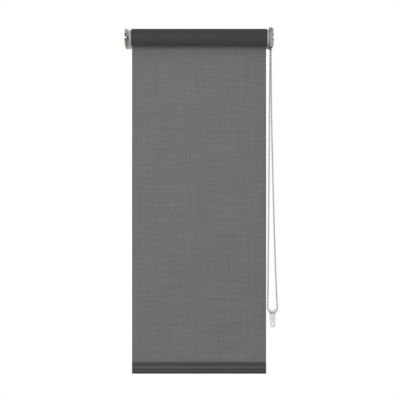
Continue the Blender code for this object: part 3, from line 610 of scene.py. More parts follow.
def cloth(name, colour, slub, on_roll=False, edge_dark=0.0):
    """Linen-look blind cloth: a plain weave with thick and thin threads both ways."""
    paint = Paint(name, colour, 0.88, Sheen_Weight=0.08, Sheen_Roughness=0.45,
                  Specular_IOR_Level=0.25)
    wander = paint.math("MULTIPLY_ADD", paint.noise(0.02, 1.0), THREAD_WANDER, -THREAD_WANDER / 2)
    if on_roll:
        angle = paint.math("ARCTAN2", paint.z, paint.minus(paint.y, AXIS_Y))
        pairs = round(2 * math.pi * ROLL_RADIUS / THREAD_PITCH / 2)
        along = paint.times(angle, pairs * THREAD_PITCH / math.pi)
    else:
        along = paint.plus(paint.z, wander)
    threads, upright = weave(paint, paint.plus(paint.x, wander), along)
    upright_slubs = paint.noise((SLUB_WIDTH, SLUB_LENGTH, SLUB_LENGTH), 3.0, 0.6)
    level_slubs = paint.noise((SLUB_LENGTH, SLUB_WIDTH if on_roll else SLUB_LENGTH, SLUB_WIDTH), 3.0, 0.6)
    coarse_upright = paint.noise((0.0032, 0.16, 0.16), 2.0, 0.5)
    coarse_level = paint.noise((0.14, 0.0034 if on_roll else 0.14, 0.0034), 2.0, 0.5)
    cloudy = paint.noise(0.09, 2.0, 0.5)
    brightness = 1.0
    for value, share in ((upright_slubs, 1.0), (level_slubs, 1.0), (coarse_upright, 0.8),
                         (coarse_level, 0.9), (cloudy, 0.3)):
        weight = slub * share
        brightness = paint.plus(paint.math("MULTIPLY_ADD", value, weight, -0.5 * weight), brightness)
    # Painted shade in the gaps between the threads.
    thread_gap_shade = paint.span(threads, 0.1, 0.75, 0.80, 1.05)
    melange = paint.math("MULTIPLY_ADD", upright, 0.07, 0.965)
    brightness = paint.times(brightness, paint.times(thread_gap_shade, melange))
    if edge_dark:
        inward = paint.minus(EDGE_X, paint.math("ABSOLUTE", paint.x))
        brightness = paint.times(brightness, paint.span(inward, *EDGE_DARK_BAND, 1 - edge_dark, 1.0))
    tint = paint.mix(paint.noise((0.0016, 0.03, 0.03), 1.0), scaled(colour, 1.02, 1.0, 0.95),
                     scaled(colour, 0.985, 1.0, 1.045))
    height = paint.plus(paint.times(threads, 0.6),
                        paint.plus(paint.times(upright_slubs, 0.5), paint.times(level_slubs, 0.5)))
    return paint.finish(paint.shade(tint, brightness),
                        paint.span(threads, 0.0, 1.0, 0.95, 0.84), height, 0.00016, 0.8)


def coated(name, colour, roughness, slot, lip):
    """Satin coat on pressed sheet: fine texture, faint mottling, a rubbed ring round the slot's end,
    and painted shade, dark and pressed in, by each of the slot's lips. slot and lip are (y, z) places."""
    paint = Paint(name, colour, roughness, 0.22, Specular_IOR_Level=0.6)
    texture = paint.noise(0.00045, 2.0, 0.6)
    mottle = paint.noise(0.0045, 3.0, 0.6)
    base = paint.tones(mottle, (0.30, 0.90), (0.52, 1.0), (0.72, 1.10))
    rough = paint.plus(paint.span(mottle, 0.3, 0.7, roughness - 0.05, roughness + 0.07),
                       paint.times(texture, 0.05))
    ragged = paint.noise(0.0009, 3.0, 0.7)

    def distance(y, z, height):
        dy, dz = paint.minus(paint.y, y), paint.minus(height, z)
        return paint.math("SQRT", paint.plus(paint.times(dy, dy), paint.times(dz, dz)))

    ring = paint.span(distance(*slot, paint.z), *RUBBED_RING, 1.0, 0.0)
    rubbed = paint.times(ring, paint.span(ragged, 0.42, 0.60))
    base = paint.mix(rubbed, base, tuple(min(1, c) for c in scaled(colour, 1.45)))
    rough = paint.math("MULTIPLY_ADD", rubbed, -0.14, rough)
    # Painted shade at each of the slot's lips: a dark patch, with a dent in the bump.
    from_lips = paint.math("ABSOLUTE", paint.plus(paint.z, LIP_SHADE_DROP))
    reach = paint.math("MULTIPLY_ADD", ragged, LIP_SHADE_RAGGED, distance(*lip, from_lips))
    lip_shade = paint.span(reach, *LIP_SHADE_REACH, 1.0, 0.0)
    base = paint.mix(lip_shade, base, LIP_SHADE_COLOUR)
    height = paint.plus(paint.times(texture, 0.5), paint.times(lip_shade, -0.5))
    return paint.finish(base, rough, height, 0.00006, 0.7)


def moulded(name, colour, roughness):
    """Moulded plastic: a fine spark-eroded texture with faint flow marks and dust."""
    paint = Paint(name, colour, roughness)
    flow = paint.noise((0.012, 0.004, 0.004), 2.0, 0.5)
    texture = paint.noise(0.00028, 2.0, 0.6)
    painted_top_light = paint.noise(0.0018, 3.0, 0.7)
    base = paint.tones(flow, (0.3, 0.93), (0.7, 1.05))
    base = paint.shade(base, paint.span(painted_top_light, 0.35, 0.75, 0.96, 1.06))
    rough = paint.plus(paint.span(flow, 0.3, 0.7, roughness - 0.04, roughness + 0.05),
                       paint.times(painted_top_light, 0.05))
    return paint.finish(base, rough, texture, 0.00004, 0.7)


def turned_steel(name, colour, roughness, blacked_from=None):
    """Bright turned steel with fine tool lines round its axis, blacked beyond an x if one is given."""
    paint = Paint(name, colour, roughness, 1.0)
    lines = paint.noise((0.00009, 0.02, 0.02), 2.0, 0.6)
    stain = paint.noise(0.0025, 2.0)
    base = paint.tones(stain, (0.3, 0.88), (0.7, 1.06))
    if blacked_from is not None:
        ragged = paint.math("MULTIPLY_ADD", stain, 0.0006, paint.x)
        base = paint.mix(paint.span(ragged, blacked_from, blacked_from + 0.0004), base, PIN_BLACKING)
    rough = paint.span(lines, 0.3, 0.7, roughness - 0.06, roughness + 0.10)
    return paint.finish(base, rough, lines, 0.00003, 0.5)


def rail_paint(name, colour, roughness):
    """Satin powder coat on an extrusion: pebbled, with faint lines along its length, pale
    scuffs, painted light on what faces up and painted shade on what faces down."""
    paint = Paint(name, colour, roughness, Specular_IOR_Level=0.22)
    facing = paint.add("ShaderNodeSeparateXYZ", {
        0: paint.add("ShaderNodeNewGeometry").outputs["Normal"]}).outputs["Z"]
    pebble = paint.noise(0.0006, 2.0, 0.6)
    lines = paint.noise((0.12, 0.0005, 0.0005), 2.0, 0.55)
    cloudy = paint.noise((0.035, 0.006, 0.006), 2.0)
    base = paint.tones(cloudy, (0.3, 0.93), (0.7, 1.07))
    base = paint.shade(base, paint.span(lines, 0.3, 0.7, 0.93, 1.07))
    streaks = paint.noise((0.012, 0.0007, 0.0007), 3.0, 0.7)
    scuffs = paint.times(paint.span(streaks, 0.66, 0.74),
                         paint.span(paint.noise(0.02, 1.0), 0.5, 0.62))
    base = paint.mix(paint.times(scuffs, 0.35), base, scaled(colour, 2.2))
    # Painted light: faces that point up are lighter, broken up by the pebble.
    painted_top_light = paint.times(paint.span(facing, 0.03, 0.30), paint.span(pebble, 0.2, 0.6, 0.6, 1.0))
    base = paint.mix(painted_top_light, base, scaled(colour, 2.0))
    # Painted shade: faces that point down are darker.
    base = paint.shade(base, paint.span(facing, -0.45, -0.05, 0.55, 1.0))
    rough = paint.span(pebble, 0.3, 0.7, roughness - 0.05, roughness + 0.06)
    height = paint.plus(paint.times(pebble, 0.7), paint.times(lines, 0.3))
    return paint.finish(base, rough, height, 0.00006, 0.6)


def bead_plate(name, colour, roughness):
    """Nickel-plated beads: each a little lighter or darker, with patches of brown tarnish."""
    paint = Paint(name, colour, roughness, 1.0)
    each = paint.noise(0.0075, 0.0)
    tarnish = paint.noise(0.0016, 3.0, 0.65)
    base = paint.tones(each, (0.3, 0.84), (0.7, 1.08))
    base = paint.mix(paint.span(tarnish, 0.55, 0.75, 0.0, 0.45), base, scaled(colour, 0.72, 0.66, 0.56))
    rough = paint.span(tarnish, 0.35, 0.75, roughness - 0.05, roughness + 0.16)
    return paint.finish(base, rough, tarnish, 0.00004, 0.4)


def clear_plastic(name, colour, roughness):
    """Clear moulded plastic, slightly smoky, with flow lines and fine scratches."""
    paint = Paint(name, colour, roughness, IOR=1.49, Transmission_Weight=0.86)
    flow = paint.noise((0.006, 0.004, 0.009), 2.0)
    scratches = paint.noise((0.0001, 0.01, 0.004), 2.0, 0.6)
    base = paint.tones(flow, (0.3, 0.93), (0.7, 1.06))
    rough = paint.plus(paint.span(flow, 0.3, 0.7, 0.10, 0.20),
                       paint.span(scratches, 0.62, 0.72, 0.0, 0.18))
    return paint.finish(base, rough, paint.plus(flow, paint.times(scratches, 0.1)), 0.0002, 0.5)


def anodised(name, colour, roughness):
    """Extruded aluminium tube with drawing lines along its length."""
    paint = Paint(name, colour, roughness, 1.0)
    lines = paint.noise((0.08, 0.00025, 0.00025), 2.0, 0.6)
    cloudy = paint.noise(0.012, 2.0)
    base = paint.shade(paint.tones(cloudy, (0.3, 0.9), (0.7, 1.04)),
                       paint.span(lines, 0.3, 0.7, 0.92, 1.05))
    return paint.finish(base, paint.span(lines, 0.3, 0.7, roughness - 0.05, roughness + 0.1),
                        lines, 0.00004, 0.6)


def gummed_tape(name, colour, roughness):
    """Double-sided tape: a yellowish film with fine creases and trapped air."""
    paint = Paint(name, colour, roughness)
    creases = paint.noise((0.03, 0.001, 0.001), 3.0, 0.6)
    bubbles = paint.noise(0.0016, 1.0)
    base = paint.shade(paint.tones(creases, (0.3, 0.88), (0.7, 1.06)),
                       paint.span(bubbles, 0.55, 0.7, 1.0, 1.1))
    return paint.finish(base, paint.span(bubbles, 0.4, 0.7, 0.4, 0.65), creases, 0.0001, 0.5)


def floor_paint(name, colour, roughness):
    """Pale matt floor with a faint mottle."""
    paint = Paint(name, colour, roughness)
    cloudy = paint.noise(0.35, 3.0, 0.5)
    return paint.finish(paint.tones(cloudy, (0.3, 0.98), (0.7, 1.02)),
                        paint.span(paint.noise(0.004, 2.0), 0.3, 0.7, 0.66, 0.76),
                        paint.noise(0.003, 2.0), 0.0001, 0.2)


# The room side is the cloth's lighter face, and its colour also holds painted light passing through the single hanging
# layer from behind; the window side and the roll show the darker face.
CLOTH_FRONT_LIT_THROUGH = cloth("cloth_room_side_lit_through", (0.149, 0.148, 0.144), 0.34, edge_dark=0.24)
CLOTH_BACK = cloth("cloth_window_side", (0.047, 0.046, 0.047), 0.22)
CLOTH_ROLL = cloth("cloth_on_roll", (0.047, 0.046, 0.047), 0.16, on_roll=True)
BRACKET = coated("bracket_coat", (0.56, 0.56, 0.51), 0.42, (AXIS_Y, 0.0), (-0.0546, 0.0064))
GREY = moulded("moulded_grey", (0.48, 0.48, 0.45), 0.42)
GUARD = moulded("moulded_guard", (0.275, 0.275, 0.240), 0.45)
DARK = moulded("moulded_dark", (0.045, 0.045, 0.045), 0.48)
STEEL = turned_steel("turned_steel", (0.62, 0.61, 0.59), 0.26)
PIN_STEEL = turned_steel("pin_steel", (0.86, 0.86, 0.84), 0.30, PIN_BLACKED_FROM)
SPRING = turned_steel("spring_steel", (0.50, 0.49, 0.47), 0.32)
RAIL = rail_paint("rail_paint", (0.044, 0.042, 0.043), 0.44)
CAP = moulded("cap_plastic", (0.038, 0.037, 0.037), 0.46)
BEADS = bead_plate("bead_nickel", (0.39, 0.385, 0.36), 0.20)
CLEAR = clear_plastic("tensioner_clear", (0.90, 0.90, 0.885), 0.16)
TUBE = anodised("tube_aluminium", (0.66, 0.66, 0.67), 0.34)
TAPE = gummed_tape("fixing_tape", (0.62, 0.58, 0.47), 0.5)


# ---- camera, light and floor

def make_camera():
    data = bpy.data.cameras.new("camera")
    data.lens = LENS
    camera = add("camera", data)
    camera.location = CAMERA_PLACE
    camera.rotation_euler = (math.pi / 2, 0, 0)
    bpy.context.scene.camera = camera


def area_light(name, power, size, start, target):
    data = bpy.data.lights.new(name, "AREA")
    data.shape = "RECTANGLE"
    data.size, data.size_y = size
    data.energy = power
    light = add(name, data)
    light.location = start
    light.rotation_euler = (Vector(target) - Vector(start)).to_track_quat("-Z", "Y").to_euler()


def make_studio():
    """A white surround that is darker from below, a big soft key light and a light from above."""
    scene = bpy.context.scene
    scene.view_settings.view_transform = "Standard"
    world = bpy.data.worlds.new("studio")
    scene.world = world
    world.use_nodes = True
    nodes, links = world.node_tree.nodes, world.node_tree.links
    coords = nodes.new("ShaderNodeTexCoord")
    split = nodes.new("ShaderNodeSeparateXYZ")
    height = nodes.new("ShaderNodeMath")
    height.operation = "MULTIPLY_ADD"
    height.inputs[1].default_value = height.inputs[2].default_value = 0.5
    ramp = nodes.new("ShaderNodeValToRGB")
    while len(ramp.color_ramp.elements) < len(SURROUND):
        ramp.color_ramp.elements.new(0.5)
    for element, (position, grey) in zip(ramp.color_ramp.elements, SURROUND):
        element.position, element.color = position, (grey, grey, grey, 1)
    links.new(coords.outputs["Generated"], split.inputs[0])
    links.new(split.outputs["Z"], height.inputs[0])
    links.new(height.outputs[0], ramp.inputs["Fac"])
    links.new(ramp.outputs["Color"], nodes["Background"].inputs["Color"])
    area_light("key", KEY_POWER, size=(1.8, 1.6), start=(-0.7, -2.9, 0.0), target=(0, 0, -0.4))
    area_light("top", TOP_POWER, size=(1.2, 0.8), start=(0.2, -0.9, 1.1), target=(0, 0, 0))
    floor = add("floor", mesh_from(
        "floor",
        [(-FLOOR_HALF_X, FLOOR_LOW_Y, FLOOR_Z), (FLOOR_HALF_X, FLOOR_LOW_Y, FLOOR_Z),
         (FLOOR_HALF_X, FLOOR_HIGH_Y, FLOOR_Z), (-FLOOR_HALF_X, FLOOR_HIGH_Y, FLOOR_Z)],
        [(0, 1, 2, 3)]))
    floor.data.materials.append(floor_paint("floor_paint", (0.86, 0.86, 0.86), 0.7))
    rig.stage(floor)


# ---- bead chain

def smooth_route(points, per_span=24):
    """A dense Catmull-Rom curve through the points."""
    def between(p, q, start, end, t):
        return p * ((end - t) / (end - start)) + q * ((t - start) / (end - start))

    route = [Vector(p) for p in points]
    ends = [2 * route[0] - route[1]] + route + [2 * route[-1] - route[-2]]
    dense = []
    for a, b, c, d in zip(ends, ends[1:], ends[2:], ends[3:]):
        knots = [0.0]
        for p, q in ((a, b), (b, c), (c, d)):
            knots.append(knots[-1] + math.sqrt((q - p).length))
        t0, t1, t2, t3 = knots
        for k in range(per_span):
            t = t1 + (t2 - t1) * k / per_span
            ab, bc, cd = between(a, b, t0, t1, t), between(b, c, t1, t2, t), between(c, d, t2, t3, t)
            abc, bcd = between(ab, bc, t0, t2, t), between(bc, cd, t1, t3, t)
            dense.append(between(abc, bcd, t1, t2, t))
    return dense + [route[-1]]


def chain_route():
    bend = []
    for i in range(BEND_POINTS):
        a = math.pi * i / (BEND_POINTS - 1)
        bend.append(BEND_MIDDLE + BEND_RADIUS * Vector((math.cos(a), 0, -math.sin(a))))
    front = [WHEEL_MIDDLE + Vector(p) for p in FRONT_STRAND]
    rear = [WHEEL_MIDDLE + Vector(p) for p in REAR_STRAND]
    return smooth_route(front + bend + rear)


def along_route(route, distances):
    """Points at these distances along the route."""
    places, travelled, index = [], 0.0, 0
    for wanted in distances:
        while index < len(route) - 2 and travelled + (route[index + 1] - route[index]).length < wanted:
            travelled += (route[index + 1] - route[index]).length
            index += 1
        span = route[index + 1] - route[index]
        places.append(route[index] + span * ((wanted - travelled) / span.length))
    return places


def bead_string(name, places, lead_in, lead_out):
    """Hollow beads with a hole at each end, on short links. The leads are the chain's cut ends."""
    radius, sides, rows = BEAD_DIAMETER / 2, 14, 9
    tilt = math.asin(BEAD_HOLE_RADIUS / radius)
    slopes = [tilt + (math.pi - 2 * tilt) * i / (rows - 1) for i in range(rows)]
    ring = [(radius * math.sin(a), radius * math.cos(a)) for a in slopes]
    lip, inward = BEAD_HOLE_RADIUS * 0.8, 0.0003
    ring = [(lip, ring[0][1] - inward)] + ring + [(lip, ring[-1][1] + inward)]
    waist = [(0.0, 1.0), (0.36, 1.0), (0.43, 0.85), (0.57, 0.85), (0.64, 1.0), (1.0, 1.0)]
    link_sides = 8
    verts, faces = [], []

    def add_circle(centre, turn, r, h, count):
        for k in range(count):
            a = 2 * math.pi * k / count
            verts.append(centre + turn @ Vector((r * math.cos(a), r * math.sin(a), h)))

    stops = [lead_in] + places + [lead_out]
    for i, centre in enumerate(places):
        ahead = (stops[i + 2] - stops[i]).normalized()
        turn = ahead.to_track_quat("Z", "Y").to_matrix() @ Matrix.Rotation(BEAD_TWIST * i, 3, "Z")
        faces += bands(len(verts), len(ring), sides, flipped=True)
        for r, h in ring:
            add_circle(centre, turn, r, h, sides)
    for a_stop, b_stop in zip(stops, stops[1:]):
        along = b_stop - a_stop
        if along.length < LINK_RADIUS:
            continue
        turn = along.to_track_quat("Z", "Y").to_matrix()
        faces += bands(len(verts), len(waist), link_sides)
        for share, width in waist:
            add_circle(a_stop + along * share, turn, LINK_RADIUS * width, 0, link_sides)
    return soften(add(name, mesh_from(name, verts, faces)), 0, angle=50)


def make_free_chain():
    route = chain_route()
    total = sum((b - a).length for a, b in zip(route, route[1:]))
    first = BEAD_PITCH * (BEADS_ABOVE_MOUTH + 1) + CHAIN_START
    count = round((total - 2 * first) / BEAD_PITCH)
    pitch = (total - 2 * first) / count
    places = along_route(route, [first + pitch * i for i in range(count + 1)])
    chain = bead_string("bead_chain_loop", places, route[0], route[-1])
    return place(chain, BEADS, "chain", ["bead_chain"], "bead_metal"), route


def make_chain_over_wheel():
    x, front, rear = WHEEL_MIDDLE.x, AXIS_Y - PITCH_RADIUS, AXIS_Y + PITCH_RADIUS
    drops = [-BEAD_PITCH * i for i in range(1, BEADS_ABOVE_MOUTH + 1)]
    places = [Vector((x, front, z)) for z in reversed(drops)]
    for i in range(POCKETS // 2 + 1):
        places.append(Vector(about_axis(x, PITCH_RADIUS, math.pi - 2 * math.pi * i / POCKETS)))
    places += [Vector((x, rear, z)) for z in drops]
    end_z = CHAIN_START + CHAIN_PIVOT_ROOM
    over = bead_string("chain_on_wheel", places, Vector((x, front, end_z)), Vector((x, rear, end_z)))
    place(over, BEADS, "root", ["chain_over_wheel"], "bead_metal")


# ---- brackets

PLATE_THICKNESS = 0.002
FOLD_RADIUS = 0.0026              # of the sheet's middle
PLATE_FRONT_HALF = 0.0184
PLATE_TOP_ROUND = 0.003
PLATE_BOTTOM_ROUND = 0.0085
FOOT_ROUND = 0.004
FOOT_INNER_TOP = 0.018
PIN_SLOT_HALF = 0.0032
SLOT_LIP_ROUND = 0.0012
SCREW_SLOT_HALF_WIDTH = 0.0025
SCREW_SLOT_HALF_HEIGHT = 0.00375
SCREW_SLOT_RISE = 0.0075
FOLD_CUTS = 10
HAIR = 1e-5                       # kept straight between two rounds that would otherwise meet


def make_bracket(name, side):
    """A pressed sheet: the flat blank with its slots is folded round at the wall, then given its
    thickness and rounded edges."""
    low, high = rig.box(name)
    outer = high.x if side > 0 else -low.x
    inner_end = low.x if side > 0 else -high.x
    wall_top, wall_low = high.z, low.z
    middle_x = outer - PLATE_THICKNESS / 2
    plate_length = -low.y - PLATE_THICKNESS / 2 - FOLD_RADIUS
    fold_length = FOLD_RADIUS * math.pi / 2
    foot_length = middle_x - FOLD_RADIUS - inner_end
    total = plate_length + fold_length + foot_length
    slot_end = AXIS_Y + PIN_SLOT_HALF - low.y
    blank = rounded(
        [(total, FOOT_INNER_TOP), (plate_length + fold_length, wall_top), (plate_length, wall_top),
         (0, PLATE_FRONT_HALF), (0, PIN_SLOT_HALF), (slot_end, PIN_SLOT_HALF),
         (slot_end, -PIN_SLOT_HALF), (0, -PIN_SLOT_HALF), (0, -PLATE_FRONT_HALF),
         (plate_length, wall_low), (plate_length + fold_length, wall_low), (total, wall_low)],
        [FOOT_ROUND, 0, 0, PLATE_TOP_ROUND, SLOT_LIP_ROUND, PIN_SLOT_HALF - HAIR,
         PIN_SLOT_HALF - HAIR, SLOT_LIP_ROUND, PLATE_BOTTOM_ROUND, 0, 0, FOOT_ROUND], 9)
    slot_u = total - (outer - PLATE_THICKNESS - inner_end) / 2
    slots = []
    for z in (-SCREW_SLOT_RISE, SCREW_SLOT_RISE):
        w, h = SCREW_SLOT_HALF_WIDTH, SCREW_SLOT_HALF_HEIGHT
        slots.append(rounded([(slot_u - w, z - h), (slot_u + w, z - h), (slot_u + w, z + h),
                              (slot_u - w, z + h)], [w - HAIR] * 4, 9))
    mesh = filled(name + "_sheet", [blank, *slots], PLATE_THICKNESS)
    work = bmesh.new()
    work.from_mesh(mesh)
    for i in range(FOLD_CUTS + 1):
        u = plate_length + fold_length * i / FOLD_CUTS
        bmesh.ops.bisect_plane(work, geom=work.verts[:] + work.edges[:] + work.faces[:],
                               plane_co=(u, 0, 0), plane_no=(1, 0, 0), dist=1e-7)
    for vert in work.verts:
        u, z, out = vert.co
        fold = min(1, max(0, (u - plate_length) / fold_length)) * math.pi / 2
        straight = min(u, plate_length)
        past = max(0, u - plate_length - fold_length)
        x = middle_x - FOLD_RADIUS + (FOLD_RADIUS + out) * math.cos(fold) - past
        y = low.y + straight + (FOLD_RADIUS + out) * math.sin(fold)
        vert.co = (side * x, y, z)
    bmesh.ops.recalc_face_normals(work, faces=work.faces)
    work.to_mesh(mesh)
    work.free()
    bracket = add(name + "_sheet", mesh)
    place(soften(bracket, 0.00035, 2, 40), BRACKET, "root", [name], "bracket_metal")


# ---- roller

CLOTH_THICKNESS = 0.0005
WOUND_TURNS = 9
WOUND_INNER_RADIUS = 0.0169
OUTER_TURN_THICKNESS = 0.00045
OUTER_TURN_INSET = 0.0002         # from the roll's ends
TURNS_INSET = 0.00035
TURN_DEPTH = 0.0012               # that the ends show between the turns
CORE_INSET = 0.0014
TUBE_WALL = 0.0015
TAPE_THICKNESS = 0.0003
TAPE_FROM, TAPE_TO = -108, -72    # degrees round the tube


def make_roll():
    """The wound cloth: a closed outer turn, and the spiral of turns inside it that its ends show."""
    inner, outer_in = WOUND_INNER_RADIUS, ROLL_RADIUS - OUTER_TURN_THICKNESS
    outer_x = EDGE_X - OUTER_TURN_INSET
    outside = pipe("roll_outer_turn", ROLL_RADIUS, outer_in, -outer_x, outer_x, 160)
    steps = 96
    count = WOUND_TURNS * steps
    step_out = (outer_in - inner) / WOUND_TURNS
    verts, faces = [], []
    for sign in (1, -1):
        for i in range(count + 1):
            a = 2 * math.pi * i / steps
            r = inner + step_out * i / steps
            # the turns don't end quite flush with each other
            wobble = 0.00012 * math.sin(3.1 * a) + 0.00010 * math.sin(0.73 * a + 1.3)
            x = sign * (EDGE_X - TURNS_INSET - wobble)
            near, far = r + HAIR, min(r + step_out * 0.86, outer_in)
            deep = x - sign * TURN_DEPTH
            verts += [about_axis(*spot, a) for spot in ((deep, near), (x, near), (x, far), (deep, far))]
    for end in range(2):
        for i in range(count):
            for k in range(3):
                p = (end * (count + 1) + i) * 4 + k
                face = (p, p + 1, p + 5, p + 4)
                faces.append(face if end else face[::-1])
    spiral = add("roll_turns", mesh_from("roll_turns", verts, faces))
    deep_x = EDGE_X - CORE_INSET
    core = pipe("roll_core", outer_in, inner, -deep_x, deep_x)
    roll = joined("roll_of_cloth", outside, spiral, core)
    place(soften(roll, 0, angle=40), CLOTH_ROLL, "roller", ["wound_fabric"], "cloth")


def make_tube_and_tape():
    end_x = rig.box("roller_tube")[1].x
    tube = pipe("roller_tube_drawn", TUBE_RADIUS, TUBE_RADIUS - TUBE_WALL, -end_x, end_x)
    place(soften(tube, 0.00025), TUBE, "roller", ["roller_tube"], "tube_metal")
    low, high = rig.box("fabric_tape")
    inner = TUBE_RADIUS + GAP
    strip = (arc((AXIS_Y, 0), inner + TAPE_THICKNESS, TAPE_FROM, TAPE_TO, 14)
             + arc((AXIS_Y, 0), inner, TAPE_TO, TAPE_FROM, 14))
    tape = slab("fixing_tape_strip", [strip], low.x, high.x)
    place(soften(tape, 0), TAPE, "roller", ["fabric_tape"], "tape")


# ---- idle end, from the bracket's pin inward

PLUG_RADIUS = 0.0142              # of both ends' plugs in the tube
PIN_RADIUS, PIN_TAIL_RADIUS = 0.0029, 0.002
COLLAR_WIDTH = 0.002
BUSH_BORE = 0.0034


def spokes(name, count, inner, outer, x_low, x_high, thickness):
    """Radial ribs round the roller's axis."""
    ribs = []
    for i in range(count):
        rib = block(name, (x_low, x_high), (inner, outer), (-thickness / 2, thickness / 2))
        rib.data.transform(
            Matrix.Translation((0, AXIS_Y, 0)) @ Matrix.Rotation(2 * math.pi * i / count, 4, "X"))
        ribs.append(rib)
    return ribs


def make_idle_plug():
    low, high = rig.box("idle_plug")
    flange_x, rim = low.x, high.z
    face_in, bore, floor, chamfer = -EDGE_X - GAP, 0.005, high.x - 0.0045, 0.0012
    dish, dish_out, dish_in, round_off = flange_x + 0.0014, rim - 0.0024, bore + 0.0026, 0.0006
    groove_r, groove_from, groove_to = rim - 0.0005, face_in - 0.0018, face_in - 0.0034
    body = turned("idle_plug_body", [
        (0, high.x), (PLUG_RADIUS - chamfer, high.x), (PLUG_RADIUS, high.x - chamfer),
        (PLUG_RADIUS, face_in), (rim, face_in),
        (rim, groove_from), (groove_r, groove_from - 0.0004), (groove_r, groove_to + 0.0004),
        (rim, groove_to), (rim, flange_x + round_off), (rim - round_off, flange_x),
        (dish_out + 0.0002, flange_x), (dish_out, dish), (dish_in, dish), (dish_in - 0.0002, flange_x),
        (bore, flange_x), (bore, floor), (0, floor)], 96, closed=False)
    ribs = spokes("idle_plug_rib", 8, bore + 0.0018, rim - 0.0018, flange_x + 0.0004, dish + 0.0004, 0.0012)
    piece = joined("idle_plug_moulding", body, *ribs)
    place(soften(piece, 0.0002), GREY, "roller", ["idle_plug"], "grey_plastic")


def make_idle_bush():
    low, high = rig.box("idle_bush")
    lead_in = 0.0002
    bush = turned("idle_bush_ring", [
        (high.z, high.x), (high.z, low.x), (BUSH_BORE + lead_in, low.x), (BUSH_BORE, low.x + lead_in),
        (BUSH_BORE, high.x)], 64)
    place(soften(bush, 0.0002), DARK, "roller", ["idle_bush"], "dark_plastic")


def make_idle_pin():
    low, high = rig.box("idle_pin")
    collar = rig.box("idle_bush")[1].x + GAP
    collar_end = collar + COLLAR_WIDTH
    groove, groove_r, chamfer = low.x + 0.0052, PIN_RADIUS - 0.0003, 0.0003
    pin = turned("idle_pin_turned", [
        (0, high.x), (PIN_TAIL_RADIUS - chamfer, high.x), (PIN_TAIL_RADIUS, high.x - chamfer),
        (PIN_TAIL_RADIUS, collar_end), (high.z, collar_end), (high.z, collar), (PIN_RADIUS, collar),
        (PIN_RADIUS, groove + 0.0006), (groove_r, groove + 0.0004), (groove_r, groove),
        (PIN_RADIUS, groove - 0.0002), (PIN_RADIUS, low.x + 0.0009), (PIN_RADIUS - 0.0005, low.x + 0.0003),
        (PIN_RADIUS - 0.0013, low.x), (0, low.x)], 64, closed=False)
    place(soften(pin, 0.00015), PIN_STEEL, "pin", ["idle_pin"], "steel")


def make_idle_spring():
    low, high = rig.box("idle_spring")
    wire_r = 0.0004
    coil = helix(high.z - wire_r, low.x + wire_r, high.x - wire_r, turns=6, per_turn=28)
    spring = wire("idle_spring_coil", coil, wire_r)
    place(soften(spring, 0, angle=60), SPRING, "roller", ["idle_spring"], "steel")
    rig.squash(spring, "idle_pin_slide", (1, 0, 0), (high.x, AXIS_Y, 0),
              keep=1 - PIN_TRAVEL / (high.x - low.x))


# ---- clutch, chain wheel and guard

GUARD_OUTER_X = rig.box("chain_guard_outer")[1].x
SPINDLE_RADIUS, SPINDLE_NECK = 0.007, 0.005
SCREW_BORE = 0.0018               # in the spindle and the washer
TONGUE_HALF, TONGUE_LENGTH = 0.0029, 0.0068
SLEEVE_BORE, SPIGOT_RADIUS, SPIGOT_BORE = 0.0096, 0.009, 0.0075
SHANK_RADIUS, SCREW_LENGTH = 0.0015, 0.012
SCREW_TURNS, THREAD_DEPTH = 16, 0.0003
BRAKE_COIL_RADIUS, BRAKE_WIRE_RADIUS = 0.0079, 0.0006
WHEEL_BORE, WHEEL_GROOVE = 0.0093, 0.0016
RIM_HOLE_STEP = 0.001             # from the core's bore out to the rims' hole
COVER_HOLE, SHELL_HOLE = 0.0095, 0.0053
GUARD_CORNER, GUARD_WALL, GUARD_FLOOR = 0.006, 0.0012, 0.0009
MOUTH_HALF, MOUTH_HEIGHT = 0.0195, 0.006
OVERCUT = 0.001                   # that a cutter or the tongue reaches past the face it meets


def make_spindle():
    low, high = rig.box("clutch_spindle")
    wheel_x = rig.box("chain_wheel")[1].x
    floor, chamfer = low.x + SCREW_LENGTH, 0.0005
    body = turned("spindle_body", [
        (0, GUARD_OUTER_X), (SPINDLE_NECK, GUARD_OUTER_X), (SPINDLE_NECK, wheel_x),
        (SPINDLE_RADIUS, wheel_x), (SPINDLE_RADIUS, low.x + chamfer), (SPINDLE_RADIUS - chamfer, low.x),
        (SCREW_BORE, low.x), (SCREW_BORE, floor), (0, floor)], 64, closed=False)
    half, rear, start = TONGUE_HALF, AXIS_Y + TONGUE_HALF, GUARD_OUTER_X - OVERCUT
    front = rear - TONGUE_LENGTH
    outline = rounded([(rear, -half), (rear, half), (front, half), (front, -half)],
                      [half - HAIR, half - HAIR, 0.001, 0.001], 9)
    tongue = slab("spindle_tongue", [outline], start, high.x)
    body.data.materials.append(DARK)
    tongue.data.materials.append(GREY)
    spindle = joined("clutch_spindle_moulding", body, tongue)
    place(soften(spindle, 0.00025), None, "root", ["clutch_spindle"], "dark_plastic")


def make_drive_sleeve():
    low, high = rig.box("drive_sleeve")
    rim, face_in, flange_out = high.z, EDGE_X + GAP, EDGE_X + 0.0055
    groove, groove_r, chamfer = flange_out - 0.0022, rim - 0.0004, 0.0008
    sleeve = turned("drive_sleeve_body", [
        (SPIGOT_RADIUS, high.x), (SPIGOT_RADIUS, flange_out), (rim - chamfer, flange_out),
        (rim, flange_out - chamfer), (rim, groove + 0.0002), (groove_r, groove), (groove_r, groove - 0.0005),
        (rim, groove - 0.0007), (rim, face_in + 0.0006), (rim - 0.0005, face_in), (PLUG_RADIUS, face_in),
        (PLUG_RADIUS, low.x + chamfer), (PLUG_RADIUS - chamfer, low.x), (SLEEVE_BORE, low.x),
        (SLEEVE_BORE, EDGE_X), (SPIGOT_BORE, EDGE_X), (SPIGOT_BORE, high.x)], 96)
    place(soften(sleeve, 0.00015), GREY, "roller", ["drive_sleeve"], "grey_plastic")


